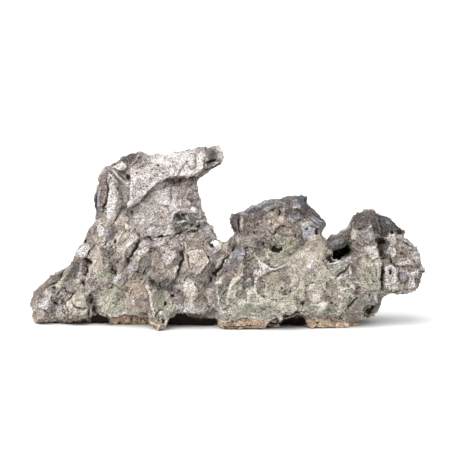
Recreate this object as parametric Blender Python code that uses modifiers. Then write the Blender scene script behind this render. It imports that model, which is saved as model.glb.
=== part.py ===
"""A scholar's rock in the form of a mountain range: one weathered limestone, standing on its own feet.

The stone is roughed out as a quarryman would: convex blocks for the cliff, the roofed peak, the far peak,
their ledges and feet. The blocks are joined, hollows are cut, and the skin is weathered, thinned and levelled
underneath.

Blocks and hollows are drawn on a sheet that faces a viewer who looks down by LOOK_DOWN: u runs to the right,
v runs up the sheet, and y is the depth behind the stone's middle (front is negative). All are in sheet units.
"""

import math
from collections import namedtuple

import bmesh
import bpy
from mathutils import Matrix, Vector
from mathutils.bvhtree import BVHTree

# Driving dimensions
LENGTH = 0.475  # the whole stone from its toe to its far knob, in metres
SHEET_LENGTH = 396.0  # the same length in sheet units
UNIT = LENGTH / SHEET_LENGTH
LOOK_DOWN = 6.5  # the drawing sheet's tilt, in degrees
GRAIN = 2.0  # voxel that joins the blocks, in sheet units
FACES = 9300  # faces kept after thinning
STRATA_LEAN = 57.0  # the bedding's lean from level, rising to the right
SIGHT = 200.0  # how far from the stone's middle a line of sight starts, in sheet units
TIP = 0.45  # a stroke's half width at its ends, as a share of the rest
FLOOR_SLAB = 0.04  # thickness of the cutter that levels the feet, in metres
FLOOR_SIZE = (0.6, 0.4)  # its length and its width
BEDDING_STRETCH = (2.6, 1.2, 0.8)  # the bedding runs long, is a little broad, and is thin
STONE_COLOUR = (0.42, 0.40, 0.35, 1.0)

Block = namedtuple("Block", "name outline front back chamfer")
Hollow = namedtuple("Hollow", "name centre radii lean turn")
Stroke = namedtuple("Stroke", "name radius sink path")
Relief = namedtuple("Relief", "name kind size height detail guide")

# Blocks: outline on the sheet, then the depth of the front face and of the back face, each (at foot, at head)
BLOCKS = (
    # The cliff, its white plate and its beak
    Block("cliff", [(-129, 90), (-130, 108), (-130, 134), (-127, 146), (-117, 154), (-92, 167), (-48, 168),
                    (-37, 162), (-32, 141), (-27, 118), (-22, 98), (-40, 84), (-110, 80)],
          (-30, -8), (38, 20), 7),
    Block("plate_left", [(-102, 110), (-101, 160), (-86, 168), (-60, 168), (-57, 146), (-70, 141), (-80, 131),
                         (-92, 118)], (-36, -15), (-4, 4), 2),
    Block("plate_right", [(-66, 143), (-66, 167), (-45, 170), (-30, 175), (-22, 170), (-23, 153), (-28, 147),
                          (-44, 146)], (-27, -14), (6, 14), 2),
    Block("beak", [(-40, 172), (-29, 177), (-20, 176), (-9, 172), (-5, 163), (-12, 153), (-22, 149),
                   (-32, 142), (-44, 150)], (-14, -9), (12, 10), 4),
    Block("beak_tip", [(-16, 174), (-9, 176), (-6, 170), (-3, 166), (-5, 159), (-9, 154), (-16, 152)],
          (-10, -8), (4, 4), 3),
    Block("beak_lobe", [(-34, 150), (-34, 157), (-24, 160), (-21, 154), (-27, 146)],
          (-24, -21), (-6, -6), 2.5),
    Block("buttress", [(-131, 100), (-131, 127), (-129, 142), (-124, 154), (-113, 158), (-108, 150),
                       (-108, 104), (-118, 92)], (-24, -11), (16, 12), 5),
    Block("lens", [(-122, 103), (-120, 125), (-117, 140), (-112, 140), (-108, 122), (-112, 106), (-117, 98)],
          (-34, -20), (-10, -8), 2),
    Block("knuckle", [(-112, 156), (-109, 163), (-102, 163), (-99, 157), (-103, 151), (-109, 151)],
          (-22, -18), (-6, -6), 2.5),
    Block("crown", [(-124, 153), (-113, 160), (-102, 167), (-94, 170), (-84, 170), (-82, 162), (-95, 157)],
          (-15, -9), (16, 14), 3),
    Block("cliff_belly", [(-96, 92), (-92, 108), (-72, 122), (-40, 124), (-24, 112), (-22, 94), (-50, 86)],
          (-35, -27), (0, 0), 5),
    # The long left slope and its toe
    Block("shoulder", [(-157, 57), (-152, 69), (-142, 85), (-136, 95), (-130, 102), (-112, 108), (-94, 95),
                       (-95, 28), (-150, 24), (-168, 42)], (-24, -25), (38, 24), 7),
    Block("shoulder_ledge", [(-156, 62), (-152, 71), (-145, 80), (-138, 74), (-139, 64), (-148, 58)],
          (-27, -21), (0, 0), 3),
    Block("shoulder_slab", [(-128, 56), (-130, 84), (-118, 104), (-104, 98), (-108, 70), (-118, 50)],
          (-35, -29), (-6, -6), 3),
    Block("toe_back", [(-199, 13), (-199, 20), (-196, 29), (-184, 43), (-173, 50), (-160, 45), (-150, 8),
                       (-190, 8)], (-4, 0), (30, 22), 6),
    Block("toe", [(-195, 1), (-196, 11), (-188, 24), (-172, 47), (-159, 58), (-140, 54), (-126, 30),
                  (-134, -1), (-188, -1)], (-13, -12), (32, 20), 6),
    Block("toe_fold", [(-188, 4), (-189, 14), (-180, 30), (-168, 42), (-164, 36), (-172, 18), (-176, 4)],
          (-19, -15), (0, 0), 3),
    Block("toe_knee", [(-158, 4), (-162, 18), (-154, 30), (-142, 28), (-138, 12), (-144, 1)],
          (-23, -17), (0, 0), 3),
    Block("pad_left", [(-130, 10), (-129, 22), (-121, 34), (-108, 38), (-92, 36), (-79, 30), (-77, 12),
                       (-90, 7), (-124, 6)], (-26, -26), (10, 10), 5),
    Block("foot_left", [(-120, -2), (-120, 12), (-76, 12), (-75, -2)], (-14, -15), (24, 24), 3),
    # The middle buttress and the saddle
    Block("middle", [(-112, 24), (-108, 80), (-95, 92), (-60, 94), (-22, 86), (-12, 68), (-14, 20), (-20, 8),
                     (-56, 6), (-78, 10)], (-40, -32), (48, 34), 7),
    Block("middle_plate", [(-76, 47), (-72, 62), (-64, 77), (-49, 81), (-46, 74), (-48, 58), (-53, 41),
                           (-62, 34), (-71, 37)], (-51, -37), (-20, -20), 3),
    Block("slate_band", [(-116, 34), (-110, 46), (-92, 68), (-80, 84), (-75, 81), (-84, 62), (-98, 42),
                         (-107, 32)], (-46, -39), (-10, -10), 2),
    Block("fin", [(-88, 46), (-82, 48), (-74, 32), (-66, 6), (-63, -7), (-69, -7), (-76, 4), (-80, 26)],
          (-55, -43), (-20, -20), 2),
    Block("narrow_foot", [(-73, 12), (-62, 15), (-57, 7), (-64, -6), (-68, -6), (-73, 0)],
          (-52, -50), (-30, -30), 2),
    Block("saddle_wall", [(-28, 80), (-16, 84), (-7, 82), (-1, 81), (5, 81), (5, 72), (-6, 52), (-22, 30),
                          (-30, 40)], (-36, -22), (10, 0), 4),
    Block("saddle_left", [(-36, 101), (-22, 98), (-17, 95), (-13, 89), (-10, 83), (-18, 76), (-32, 76)],
          (-28, -18), (6, 4), 3),
    Block("saddle_right", [(-2, 80), (1, 84), (4, 87), (12, 90), (15, 80), (6, 72)], (-26, -20), (10, 6), 3),
    Block("saddle_plate", [(-43, 76), (-26, 77), (-20, 68), (-18, 62), (-23, 54), (-31, 45), (-38, 50),
                           (-44, 62)], (-50, -41), (-20, -20), 2.5),
    Block("saddle_knob", [(-46, 40), (-40, 45), (-31, 40), (-27, 28), (-34, 18), (-44, 20), (-47, 30)],
          (-53, -48), (-20, -20), 4),
    Block("hanging_lip", [(-37, 6), (-36, 12), (-22, 12), (-24, 3), (-30, 0)], (-34, -34), (0, 0), 2),
    # The roofed peak
    Block("peak", [(10, 60), (12, 92), (17, 104), (30, 112), (75, 116), (90, 104), (93, 88), (100, 70),
                   (104, 8), (60, 4), (-2, 5), (-6, 30)], (-42, -24), (44, 22), 7),
    Block("roof_left", [(2, 102), (4, 107), (17, 112), (30, 119), (50, 123), (50, 112), (20, 103), (8, 90),
                        (5, 93)], (-34, -20), (26, 20), 2.5),
    Block("roof_right", [(46, 121), (60, 125), (74, 128), (78, 126), (78, 121), (76, 112), (46, 112)],
          (-33, -18), (22, 20), 2.5),
    Block("roof_corner", [(60, 118), (79, 117), (88, 110), (98, 101), (96, 95), (91, 91), (72, 104)],
          (-37, -24), (20, 16), 2.5),
    Block("cheek", [(73, 84), (70, 95), (78, 106), (90, 104), (93, 92), (85, 82)],
          (-41, -34), (-10, -10), 2.5),
    Block("gable", [(20, 86), (26, 104), (50, 112), (66, 106), (64, 86), (42, 80)],
          (-38, -28), (-10, -10), 6),
    Block("slate_rib", [(14, 76), (17, 66), (10, 56), (-5, 42), (-15, 36), (-12, 46), (0, 64), (8, 75)],
          (-53, -40), (-20, -20), 2.5),
    Block("apron", [(-8, 4), (-14, 30), (0, 52), (14, 56), (24, 30), (22, 4)], (-50, -46), (-20, -20), 4),
    Block("scallop_rim", [(22, 22), (20, 46), (28, 60), (60, 64), (78, 50), (76, 24), (50, 18)],
          (-52, -44), (-20, -20), 4),
    Block("pad_middle", [(12, 4), (14, 18), (36, 24), (66, 21), (74, 10), (62, 6), (34, 2)],
          (-53, -50), (-20, -20), 4),
    Block("foot_middle", [(-10, -1), (-2, -7), (34, -7), (40, -1), (34, 10), (0, 12)],
          (-46, -47), (-8, -8), 3),
    Block("foot_middle_right", [(40, -4), (52, -4), (54, 8), (40, 8)], (-36, -36), (0, 0), 2),
    # The right body, its cave and the far peak
    Block("right_body", [(66, 10), (66, 74), (92, 78), (100, 60), (128, 64), (150, 60), (154, 28), (146, 18),
                         (132, 6), (80, 6)], (-36, -32), (44, 34), 7),
    Block("right_cheek", [(74, 40), (78, 70), (92, 78), (99, 60), (98, 40), (86, 30)],
          (-44, -38), (-10, -10), 3),
    Block("right_boss", [(80, 24), (84, 36), (94, 37), (100, 28), (96, 18), (86, 16)],
          (-48, -42), (-10, -10), 3),
    Block("right_flank", [(104, 18), (108, 44), (120, 50), (128, 40), (124, 16), (114, 10)],
          (-42, -38), (-10, -10), 4),
    Block("cave_lip", [(96, 52), (100, 60), (112, 60), (120, 66), (126, 62), (122, 48), (105, 44)],
          (-45, -40), (-10, -10), 2.5),
    Block("cave_roof", [(96, 74), (99, 80), (104, 86), (115, 89), (122, 94), (130, 92), (130, 70), (98, 62)],
          (-16, -4), (38, 30), 4),
    Block("pillar", [(123, 88), (130, 97), (144, 95), (149, 86), (151, 66), (153, 40), (151, 24), (140, 18),
                     (128, 28), (122, 66)], (-36, -22), (14, 12), 4),
    Block("far_peak", [(119, 86), (123, 99), (125, 105), (137, 112), (144, 114), (152, 107), (162, 103),
                       (172, 94), (177, 92), (177, 86), (150, 78), (125, 80)], (-12, -3), (32, 22), 4),
    Block("far_peak_knot", [(122, 90), (124, 103), (133, 110), (143, 112), (147, 100), (138, 88)],
          (-22, -11), (0, 0), 3),
    Block("knob_neck", [(138, 58), (140, 92), (164, 90), (166, 56)], (-2, 0), (26, 18), 4),
    Block("knob_top", [(155, 58), (158, 84), (166, 89), (177, 86), (187, 75), (192, 70), (192, 60),
                       (178, 55)], (-23, -14), (24, 16), 3),
    Block("knob_ledge", [(158, 54), (168, 60), (192, 58), (195, 57), (195, 51), (189, 48), (166, 50)],
          (-24, -22), (18, 16), 2),
    Block("knob_foot", [(152, 31), (153, 58), (168, 60), (182, 52), (192, 48), (190, 37), (187, 33),
                        (176, 30), (164, 30)], (-27, -20), (20, 18), 3),
    Block("right_leg", [(136, 10), (140, 4), (147, 8), (152, 18), (157, 28), (154, 42), (138, 42), (134, 18)],
          (-10, -16), (22, 24), 4),
    Block("right_foot", [(112, -3), (128, -2), (134, 6), (135, 24), (118, 28)], (-24, -26), (12, 12), 4),
    Block("foot_right", [(75, -6), (103, -6), (118, -3), (120, 14), (75, 14)], (-36, -38), (-4, -4), 3),
    # The back: broad ribs with bays between them, and feet that hold the stone up
    Block("back_cliff", [(-112, 78), (-108, 130), (-88, 150), (-60, 146), (-48, 118), (-60, 84)],
          (10, 4), (50, 28), 6),
    Block("back_rib_left", [(-110, -6), (-106, 40), (-94, 84), (-78, 96), (-64, 60), (-52, -6)],
          (20, 10), (60, 36), 8),
    Block("back_plate", [(-46, 96), (-50, 136), (-34, 152), (-28, 128), (-24, 104)], (6, 4), (34, 22), 3),
    Block("back_rib_right", [(8, -8), (16, 50), (34, 92), (50, 96), (70, 58), (84, -8)],
          (20, 10), (62, 38), 8),
    Block("back_roof", [(18, 92), (26, 112), (66, 118), (86, 102), (70, 92)], (6, 4), (36, 28), 3),
    Block("back_foot_left", [(-168, -5), (-164, 26), (-140, 46), (-118, 24), (-122, -5)],
          (10, 10), (40, 30), 6),
    Block("back_foot_right", [(96, -6), (98, 40), (114, 64), (138, 50), (136, -6)], (10, 10), (46, 34), 6),
    Block("back_spur", [(-40, -6), (-46, 30), (-32, 66), (-14, 62), (4, -6)], (20, 10), (54, 38), 7),
    Block("back_knee", [(-160, 44), (-150, 70), (-128, 84), (-112, 60), (-126, 40)], (10, 4), (44, 28), 5),
)

# Hollows: centre (u, v, y), half sizes along the hollow's own axes, then its lean and its turn about the
# upright, both in degrees
HOLLOWS = (
    Hollow("keyhole", (-14.5, 80.5, -10), (5.6, 44, 4.4), 0, 0),
    Hollow("alcove", (-45, 134, -25), (19, 8, 11), 10, 0),
    Hollow("bay_floor", (-24, 98, -34), (15, 9, 8), 50, 0),
    Hollow("cleft", (-9, 57, -42), (32, 26, 3.2), 61, 0),
    Hollow("cave", (111.5, 69.5, -10), (14, 38, 7), 27, 0),
    Hollow("cave_mouth", (112, 76, -38), (12, 20, 8), 27, 0),
    Hollow("notch", (151, 79, -22), (4.5, 16, 7.5), 80, 0),
    Hollow("slot", (46, 75, -38), (7.5, 18, 3.4), -6, 0),
    Hollow("scallop", (46, 40, -53), (19, 13, 12), 12, 0),
    Hollow("beak_socket", (-17, 159, -12), (6, 7, 4), 20, 0),
    Hollow("crown_pit", (-102, 146, -26), (3, 10, 4), 80, 0),
    Hollow("shoulder_pit", (-140, 61, -26), (4.5, 9, 3.6), 30, 0),
    Hollow("shoulder_slit", (-145, 41, -24), (2.2, 9, 5.5), -20, 0),
    Hollow("pad_dish", (-112, 24, -46), (18, 22, 9), 12, 0),
    Hollow("green_dish", (-64, 31, -58), (13, 16, 11), 20, 0),
    Hollow("gable_pit", (25, 92, -38), (4, 12, 3), 20, 0),
    Hollow("eave_pit", (89, 91, -42), (2.6, 8, 2.6), 0, 0),
    Hollow("arch_left", (-126, 0, -22), (7.5, 44, 9), 0, 0),
    Hollow("arch_middle", (-36, -2, -30), (26, 46, 13), 0, 0),
    Hollow("arch_right", (64, -1, -36), (13, 40, 11), 0, 0),
    Hollow("leg_hollow", (141, 12, -16), (6, 12, 7), 40, 0),
    Hollow("back_bay", (-22, 92, 44), (26, 20, 26), 0, 0),
    Hollow("back_dish", (104, 34, 56), (22, 20, 20), 0, 0),
    Hollow("back_niche", (-128, 74, 46), (14, 14, 22), 20, 0),
    Hollow("back_cave", (56, 80, 44), (12, 20, 9), 20, 0),
)

# Strokes: half width, how far the middle line lies under the stone's face, and the route on the sheet
GROOVES = (
    Stroke("ledge_shadow", 3.2, 0.5, [(-24, 150), (-43, 144), (-58, 143), (-68, 138), (-78, 128), (-88, 119),
                                      (-99, 109), (-110, 103)]),
    Stroke("plate_edge", 2.8, 0.5, [(-104, 158), (-104, 144), (-106, 130), (-108, 114)]),
    Stroke("pillar_groove", 2.4, 0.5, [(-122, 148), (-123, 126), (-126, 104)]),
    Stroke("belt_crack", 2.0, 0.5, [(-84, 86), (-63, 88), (-56, 91), (-40, 90)]),
    Stroke("band_crease", 3.4, 1.0, [(-78, 89), (-93, 76), (-103, 62), (-112, 50)]),
    Stroke("plate_crease", 2.6, 0.5, [(-45, 84), (-44, 73), (-47, 58), (-51, 44)]),
    Stroke("toe_crease", 2.2, 0.5, [(-176, 6), (-170, 20), (-160, 36), (-154, 50)]),
    Stroke("toe_rim", 2.4, 0.5, [(-136, 6), (-134, 20), (-140, 34), (-142, 50)]),
    Stroke("slope_crease", 2.4, 0.5, [(-132, 40), (-128, 56), (-132, 76), (-134, 92)]),
    Stroke("step_crack", 2.2, 0.5, [(122, 61), (117, 55), (110, 51), (108, 42)]),
    Stroke("flank_crevice", 2.8, 0.5, [(115, 26), (122, 19), (131, 12)]),
    Stroke("knob_crack", 2.0, 0.5, [(159, 63), (169, 60), (180, 61), (190, 62)]),
    Stroke("eave_line", 2.2, 0.5, [(16, 104), (15, 98), (15, 86)]),
    Stroke("apron_crease", 2.2, 0.5, [(18, 62), (20, 50), (16, 36), (18, 22)]),
    Stroke("body_crease", 2.4, 0.5, [(80, 42), (72, 30), (70, 16)]),
)
RIBS = (
    Stroke("scallop_edge", 3.4, 1.0, [(44, 49), (34, 52), (28, 46), (26, 38), (28, 29), (35, 25), (44, 25)]),
    Stroke("web", 3.2, 1.0, [(27, 67), (35, 60), (46, 58), (54, 54), (64, 62)]),
    Stroke("cream_rib", 3.4, 1.0, [(14, 58), (12, 48), (4, 40), (2, 33), (1, 24)]),
    Stroke("dish_rib", 3.0, 1.0, [(-86, 46), (-81, 38), (-78, 30), (-76, 20), (-75, 10)]),
    Stroke("slope_rib", 3.4, 1.0, [(-150, 62), (-140, 74), (-132, 88)]),
)
BACK_GROOVES = (
    Stroke("back_bed_left", 3.0, 0.5, [(-118, 40), (-98, 66), (-84, 98), (-74, 128)]),
    Stroke("back_bed_middle", 3.0, 0.5, [(-52, 22), (-48, 60), (-52, 92), (-46, 120)]),
    Stroke("back_bed_right", 3.0, 0.5, [(18, 24), (32, 56), (52, 82), (66, 100)]),
    Stroke("back_ledge", 3.0, 0.5, [(84, 70), (100, 58), (120, 60), (140, 54)]),
)

# Weathering: the pattern, the size of its features, how high it raises the skin, and what it follows
WEATHERING = (
    Relief("beds", "CLOUDS", 13, 6.0, {"noise_depth": 2}, "bedding"),
    Relief("crags", "VORONOI", 17, 4.0, {"distance_metric": "DISTANCE"}, "bedding"),
    Relief("lumps", "CLOUDS", 9, 3.0, {"noise_depth": 1}, "level"),
)


def seen(u, v, y):
    """The point in space that shows at (u, v) on the drawing sheet from a depth of y, in metres."""
    tilt = math.radians(LOOK_DOWN)
    return Vector((u, y, v / math.cos(tilt) - y * math.tan(tilt))) * UNIT


def link(obj, collection, quarry, helper=True):
    """Put obj into its collection and under the quarry empty; a helper is a guide or a cutter."""
    collection.objects.link(obj)
    obj.parent = quarry
    if helper:
        obj.hide_render = True
        obj.display_type = "WIRE"
    return obj


def hull_mesh(name, bm):
    """The convex hull of bm's vertices as a new mesh; bm is freed."""
    bmesh.ops.delete(bm, geom=bm.faces, context="FACES_ONLY")
    bmesh.ops.delete(bm, geom=bm.edges, context="EDGES_FACES")
    hull = bmesh.ops.convex_hull(bm, input=bm.verts)
    spare = set(hull["geom_interior"] + hull["geom_unused"]).intersection(bm.verts)
    bmesh.ops.delete(bm, geom=list(spare), context="VERTS")
    bmesh.ops.recalc_face_normals(bm, faces=bm.faces)
    mesh = bpy.data.meshes.new(name)
    bm.to_mesh(mesh)
    bm.free()
    return mesh


def block_mesh(block):
    """The convex hull of the outline at full size and of smaller copies of it on the front and back faces."""
    low = min(v for _, v in block.outline)
    high = max(v for _, v in block.outline)
    middle_u = sum(u for u, _ in block.outline) / len(block.outline)
    middle_v = (low + high) / 2
    reach = max(math.hypot(u - middle_u, v - middle_v) for u, v in block.outline)
    shrink = 1 - block.chamfer / reach
    corners = []
    for u, v in block.outline:
        rise = (v - low) / (high - low)
        front = block.front[0] + (block.front[1] - block.front[0]) * rise
        back = block.back[0] + (block.back[1] - block.back[0]) * rise
        small = middle_u + (u - middle_u) * shrink, middle_v + (v - middle_v) * shrink
        corners += [seen(*small, front), seen(u, v, front + block.chamfer)]
        corners += [seen(u, v, back - block.chamfer), seen(*small, back)]
    bm = bmesh.new()
    for corner in corners:
        bm.verts.new(corner)
    return hull_mesh(block.name, bm)


def hollow_object(hollow, collection, quarry):
    """A stretched ball, leaning in the plane of the sheet and turned about the upright."""
    bm = bmesh.new()
    bmesh.ops.create_icosphere(bm, subdivisions=3, radius=1.0)
    size = Matrix.Diagonal([half * UNIT for half in hollow.radii] + [1.0])
    lean = Matrix.Rotation(-math.radians(hollow.lean), 4, "Y")
    turn = Matrix.Rotation(math.radians(hollow.turn), 4, "Z")
    bm.transform(Matrix.Translation(seen(*hollow.centre)) @ turn @ lean @ size)
    mesh = bpy.data.meshes.new(hollow.name)
    bm.to_mesh(mesh)
    bm.free()
    link(bpy.data.objects.new(hollow.name, mesh), collection, quarry)


def stroke_objects(stroke, face, collection, quarry, side=1):
    """A tapered tube along the stone's face, made of one hull for each stretch of its route.

    Each point of the route is dropped onto the face along the line of sight, from the front or, with side -1,
    from the back.
    """
    centres = []
    for u, v in stroke.path:
        start = seen(u, v, -SIGHT * side)
        sight = (seen(u, v, SIGHT * side) - start).normalized()
        hit = face.ray_cast(start, sight)[0]
        if hit is None:
            raise ValueError(f"{stroke.name} leaves the stone at {u}, {v}")
        centres.append(hit + sight * stroke.sink * UNIT)
    last = len(centres) - 1
    radii = [stroke.radius * UNIT * (TIP if place in (0, last) else 1.0) for place in range(len(centres))]
    for place in range(last):
        bm = bmesh.new()
        for centre, radius in zip(centres[place:place + 2], radii[place:place + 2]):
            bmesh.ops.create_icosphere(bm, subdivisions=2, radius=radius, matrix=Matrix.Translation(centre))
        mesh = hull_mesh(f"{stroke.name}_{place + 1}", bm)
        link(bpy.data.objects.new(mesh.name, mesh), collection, quarry)


def displace(rock, relief, guide):
    """Raise the skin by a procedural pattern that follows the guide."""
    texture = bpy.data.textures.new(relief.name, relief.kind)
    texture.noise_scale = relief.size * UNIT
    for key, value in relief.detail.items():
        setattr(texture, key, value)
    modifier = rock.modifiers.new(relief.name, "DISPLACE")
    modifier.texture = texture
    modifier.texture_coords = "OBJECT"
    modifier.texture_coords_object = guide
    modifier.strength = relief.height * UNIT
    modifier.mid_level = 0.5


def fuse(rock, name):
    modifier = rock.modifiers.new(name, "REMESH")
    modifier.mode = "VOXEL"
    modifier.voxel_size = GRAIN * UNIT


def soften(rock, name):
    modifier = rock.modifiers.new(name, "SMOOTH")
    modifier.factor = 0.5
    modifier.iterations = 1


def boolean(rock, name, operation, **operand):
    modifier = rock.modifiers.new(name, "BOOLEAN")
    modifier.operation = operation
    modifier.solver = "EXACT"
    for key, value in operand.items():
        setattr(modifier, key, value)


def stone_material():
    material = bpy.data.materials.new("limestone")
    material.use_nodes = True
    shader = material.node_tree.nodes["Principled BSDF"]
    shader.inputs["Base Color"].default_value = STONE_COLOUR
    shader.inputs["Roughness"].default_value = 0.85
    shader.inputs["Metallic"].default_value = 0.0
    material.diffuse_color = STONE_COLOUR
    return material


def ground_mesh():
    """A slab whose top is level with the stone's feet."""
    bm = bmesh.new()
    bmesh.ops.create_cube(bm, size=1.0)
    slab = Matrix.Diagonal((FLOOR_SIZE[0], FLOOR_SIZE[1], FLOOR_SLAB, 1.0))
    bm.transform(Matrix.Translation((0.0, 0.0, -FLOOR_SLAB / 2)) @ slab)
    mesh = bpy.data.meshes.new("ground")
    bm.to_mesh(mesh)
    bm.free()
    return mesh


def rough_out(rock, folders, quarry):
    """Join the blocks, cut the hollows, then run ribs and grooves over the face that this gives."""
    boolean(rock, "join", "UNION", operand_type="COLLECTION", collection=folders["blocks"])
    boolean(rock, "hollow", "DIFFERENCE", operand_type="COLLECTION", collection=folders["hollows"])
    face = BVHTree.FromObject(rock, bpy.context.evaluated_depsgraph_get())
    for stroke in RIBS:
        stroke_objects(stroke, face, folders["ribs"], quarry)
    for stroke in GROOVES:
        stroke_objects(stroke, face, folders["grooves"], quarry)
    for stroke in BACK_GROOVES:
        stroke_objects(stroke, face, folders["grooves"], quarry, side=-1)
    boolean(rock, "add_ribs", "UNION", operand_type="COLLECTION", collection=folders["ribs"])
    boolean(rock, "cut_grooves", "DIFFERENCE", operand_type="COLLECTION", collection=folders["grooves"])


def weather(rock, guides):
    """Fuse the blocks and roughen the skin: beds and crags follow the bedding, lumps lie level."""
    fuse(rock, "fuse")
    soften(rock, "soften")
    for relief in WEATHERING:
        displace(rock, relief, guides[relief.guide])
    fuse(rock, "heal")


def thin_out(rock):
    """Keep about FACES triangles."""
    skin = rock.evaluated_get(bpy.context.evaluated_depsgraph_get()).data
    skin.calc_loop_triangles()
    modifier = rock.modifiers.new("thin", "DECIMATE")
    modifier.ratio = FACES / len(skin.loop_triangles)


def centre(rock, quarry):
    """Move everything together, so that the origin is the middle of the stone's box, at its feet."""
    box = rock.evaluated_get(bpy.context.evaluated_depsgraph_get()).bound_box
    quarry.location.x = -(min(corner[0] for corner in box) + max(corner[0] for corner in box)) / 2
    quarry.location.y = -(min(corner[1] for corner in box) + max(corner[1] for corner in box)) / 2


def main():
    for obj in list(bpy.data.objects):
        bpy.data.objects.remove(obj)
    folders = {}
    for name in ("scholars_rock", "blocks", "hollows", "ribs", "grooves", "guides"):
        folders[name] = bpy.data.collections.new(name)
        bpy.context.scene.collection.children.link(folders[name])

    quarry = bpy.data.objects.new("quarry", None)
    folders["guides"].objects.link(quarry)
    guides = {}
    for name in ("bedding", "level"):
        guides[name] = link(bpy.data.objects.new(name, None), folders["guides"], quarry)
    guides["bedding"].rotation_euler = (0.0, -math.radians(STRATA_LEAN), 0.0)
    guides["bedding"].scale = BEDDING_STRETCH
    ground = link(bpy.data.objects.new("ground", ground_mesh()), folders["guides"], quarry)

    for block in BLOCKS[1:]:
        link(bpy.data.objects.new(block.name, block_mesh(block)), folders["blocks"], quarry)
    for hollow in HOLLOWS:
        hollow_object(hollow, folders["hollows"], quarry)

    rock = bpy.data.objects.new("rock", block_mesh(BLOCKS[0]))
    link(rock, folders["scholars_rock"], quarry, helper=False)
    rock.data.materials.append(stone_material())
    rough_out(rock, folders, quarry)
    weather(rock, guides)
    thin_out(rock)
    boolean(rock, "feet", "DIFFERENCE", object=ground)
    centre(rock, quarry)


main()
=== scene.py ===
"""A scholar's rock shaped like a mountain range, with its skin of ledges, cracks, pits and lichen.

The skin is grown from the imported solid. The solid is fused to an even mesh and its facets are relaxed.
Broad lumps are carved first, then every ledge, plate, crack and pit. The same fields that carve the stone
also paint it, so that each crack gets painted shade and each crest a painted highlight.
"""

import math
from collections import namedtuple

import bmesh
import bpy
import numpy as np
from bpy.props import FloatProperty, FloatVectorProperty, IntProperty, PointerProperty
from mathutils import Matrix, Vector


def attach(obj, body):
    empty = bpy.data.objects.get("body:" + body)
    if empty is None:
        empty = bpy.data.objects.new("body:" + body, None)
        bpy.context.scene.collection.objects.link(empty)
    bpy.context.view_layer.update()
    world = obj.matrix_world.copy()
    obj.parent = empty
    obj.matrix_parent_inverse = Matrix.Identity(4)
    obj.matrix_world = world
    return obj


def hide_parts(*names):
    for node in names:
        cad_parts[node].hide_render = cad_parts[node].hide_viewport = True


bl_info = {
    "name": "Scholar's Rock",
    "version": (1, 0, 0),
    "blender": (4, 5, 0),
    "location": "3D View > Sidebar > Stone",
    "description": "Carves and paints the skin of a landscape stone, and lights it on a pale floor",
    "category": "Object",
}

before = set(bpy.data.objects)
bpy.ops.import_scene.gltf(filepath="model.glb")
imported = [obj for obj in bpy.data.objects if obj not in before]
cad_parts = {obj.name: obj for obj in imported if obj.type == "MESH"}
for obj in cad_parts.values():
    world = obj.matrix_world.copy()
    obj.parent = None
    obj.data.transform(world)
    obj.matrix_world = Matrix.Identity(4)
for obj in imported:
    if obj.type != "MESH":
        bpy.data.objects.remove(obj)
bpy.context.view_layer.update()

# The drawing sheet: a true perspective picture of the stone, 452 units square, x to the right and y down.
SHEET = 452.0
UNIT = 0.475 / 396.0  # metres in one sheet unit at the middle of the stone
SHEET_CENTRE = (226.0, 226.0)
LOOK_DOWN = math.radians(6.5)
LOOK_AT = np.array((-0.00025, -0.00366, 0.1171))  # the point under the middle of the sheet

# Where the bedding changes its lean, on the sheet: the knob's oval, and the slanting border of the ranges
KNOB_CENTRE = (405, 264)
KNOB_RADII = (24, 33)
BORDER_LEFT = 215
BORDER_RIGHT = 240
BORDER_LEVEL = 280
BORDER_SLANT = 0.3

# Lean of the bedding in degrees from the floor, for the broad lumps, the ledges and the small plates
LEFT_LEAN = 57
RIGHT_LUMP_LEAN = 25
RIGHT_LEDGE_LEAN = 12
RIGHT_PLATE_LEAN = 10
KNOB_LUMP_LEAN = -75
KNOB_LEDGE_LEAN = -82
SIDE_PLATE_LEAN = 38

# The low arches under the stone: left end, right end and front lip of each, in metres
RECESSES = ((-0.162, -0.138, -0.020), (-0.072, -0.010, -0.036), (0.065, 0.092, -0.036))
RECESS_EDGE = 0.003  # how soft the ends are
RECESS_DEPTH = 0.008  # how far behind the lip the arch is fully closed
RECESS_TOP = (0.032, 0.026)  # the heights between which its shadow and its filling fade out

# The stage, in metres
FLOOR_REACH = 60.0
FLOOR_DROP = 0.0002
SUN_PLACE = (-0.75, -1.1, 1.9)
FARTHEST = 200.0

# ---------------------------------------------------------------- what has its own place on the front

# All of these are drawn on the sheet: x to the right and y down, in sheet units.
# Area: a plate with a closed outline. Spot: an oval. Line: a crack, rib or streak along a route.
# Each has a colour from the palette and the share of it that is laid on. Last come a rise or fall in
# millimetres and, for a spot, its lean in degrees, where they aren't nought.
# The blackest colour is painted shade, laid in cracks, pits, the cave and under the arches.
Area = namedtuple("Area", "colour share outline rise", defaults=(0.0,))
Spot = namedtuple("Spot", "colour share centre radii rise lean", defaults=(0.0, 0))
Line = namedtuple("Line", "colour share width route rise", defaults=(0.0,))

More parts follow.
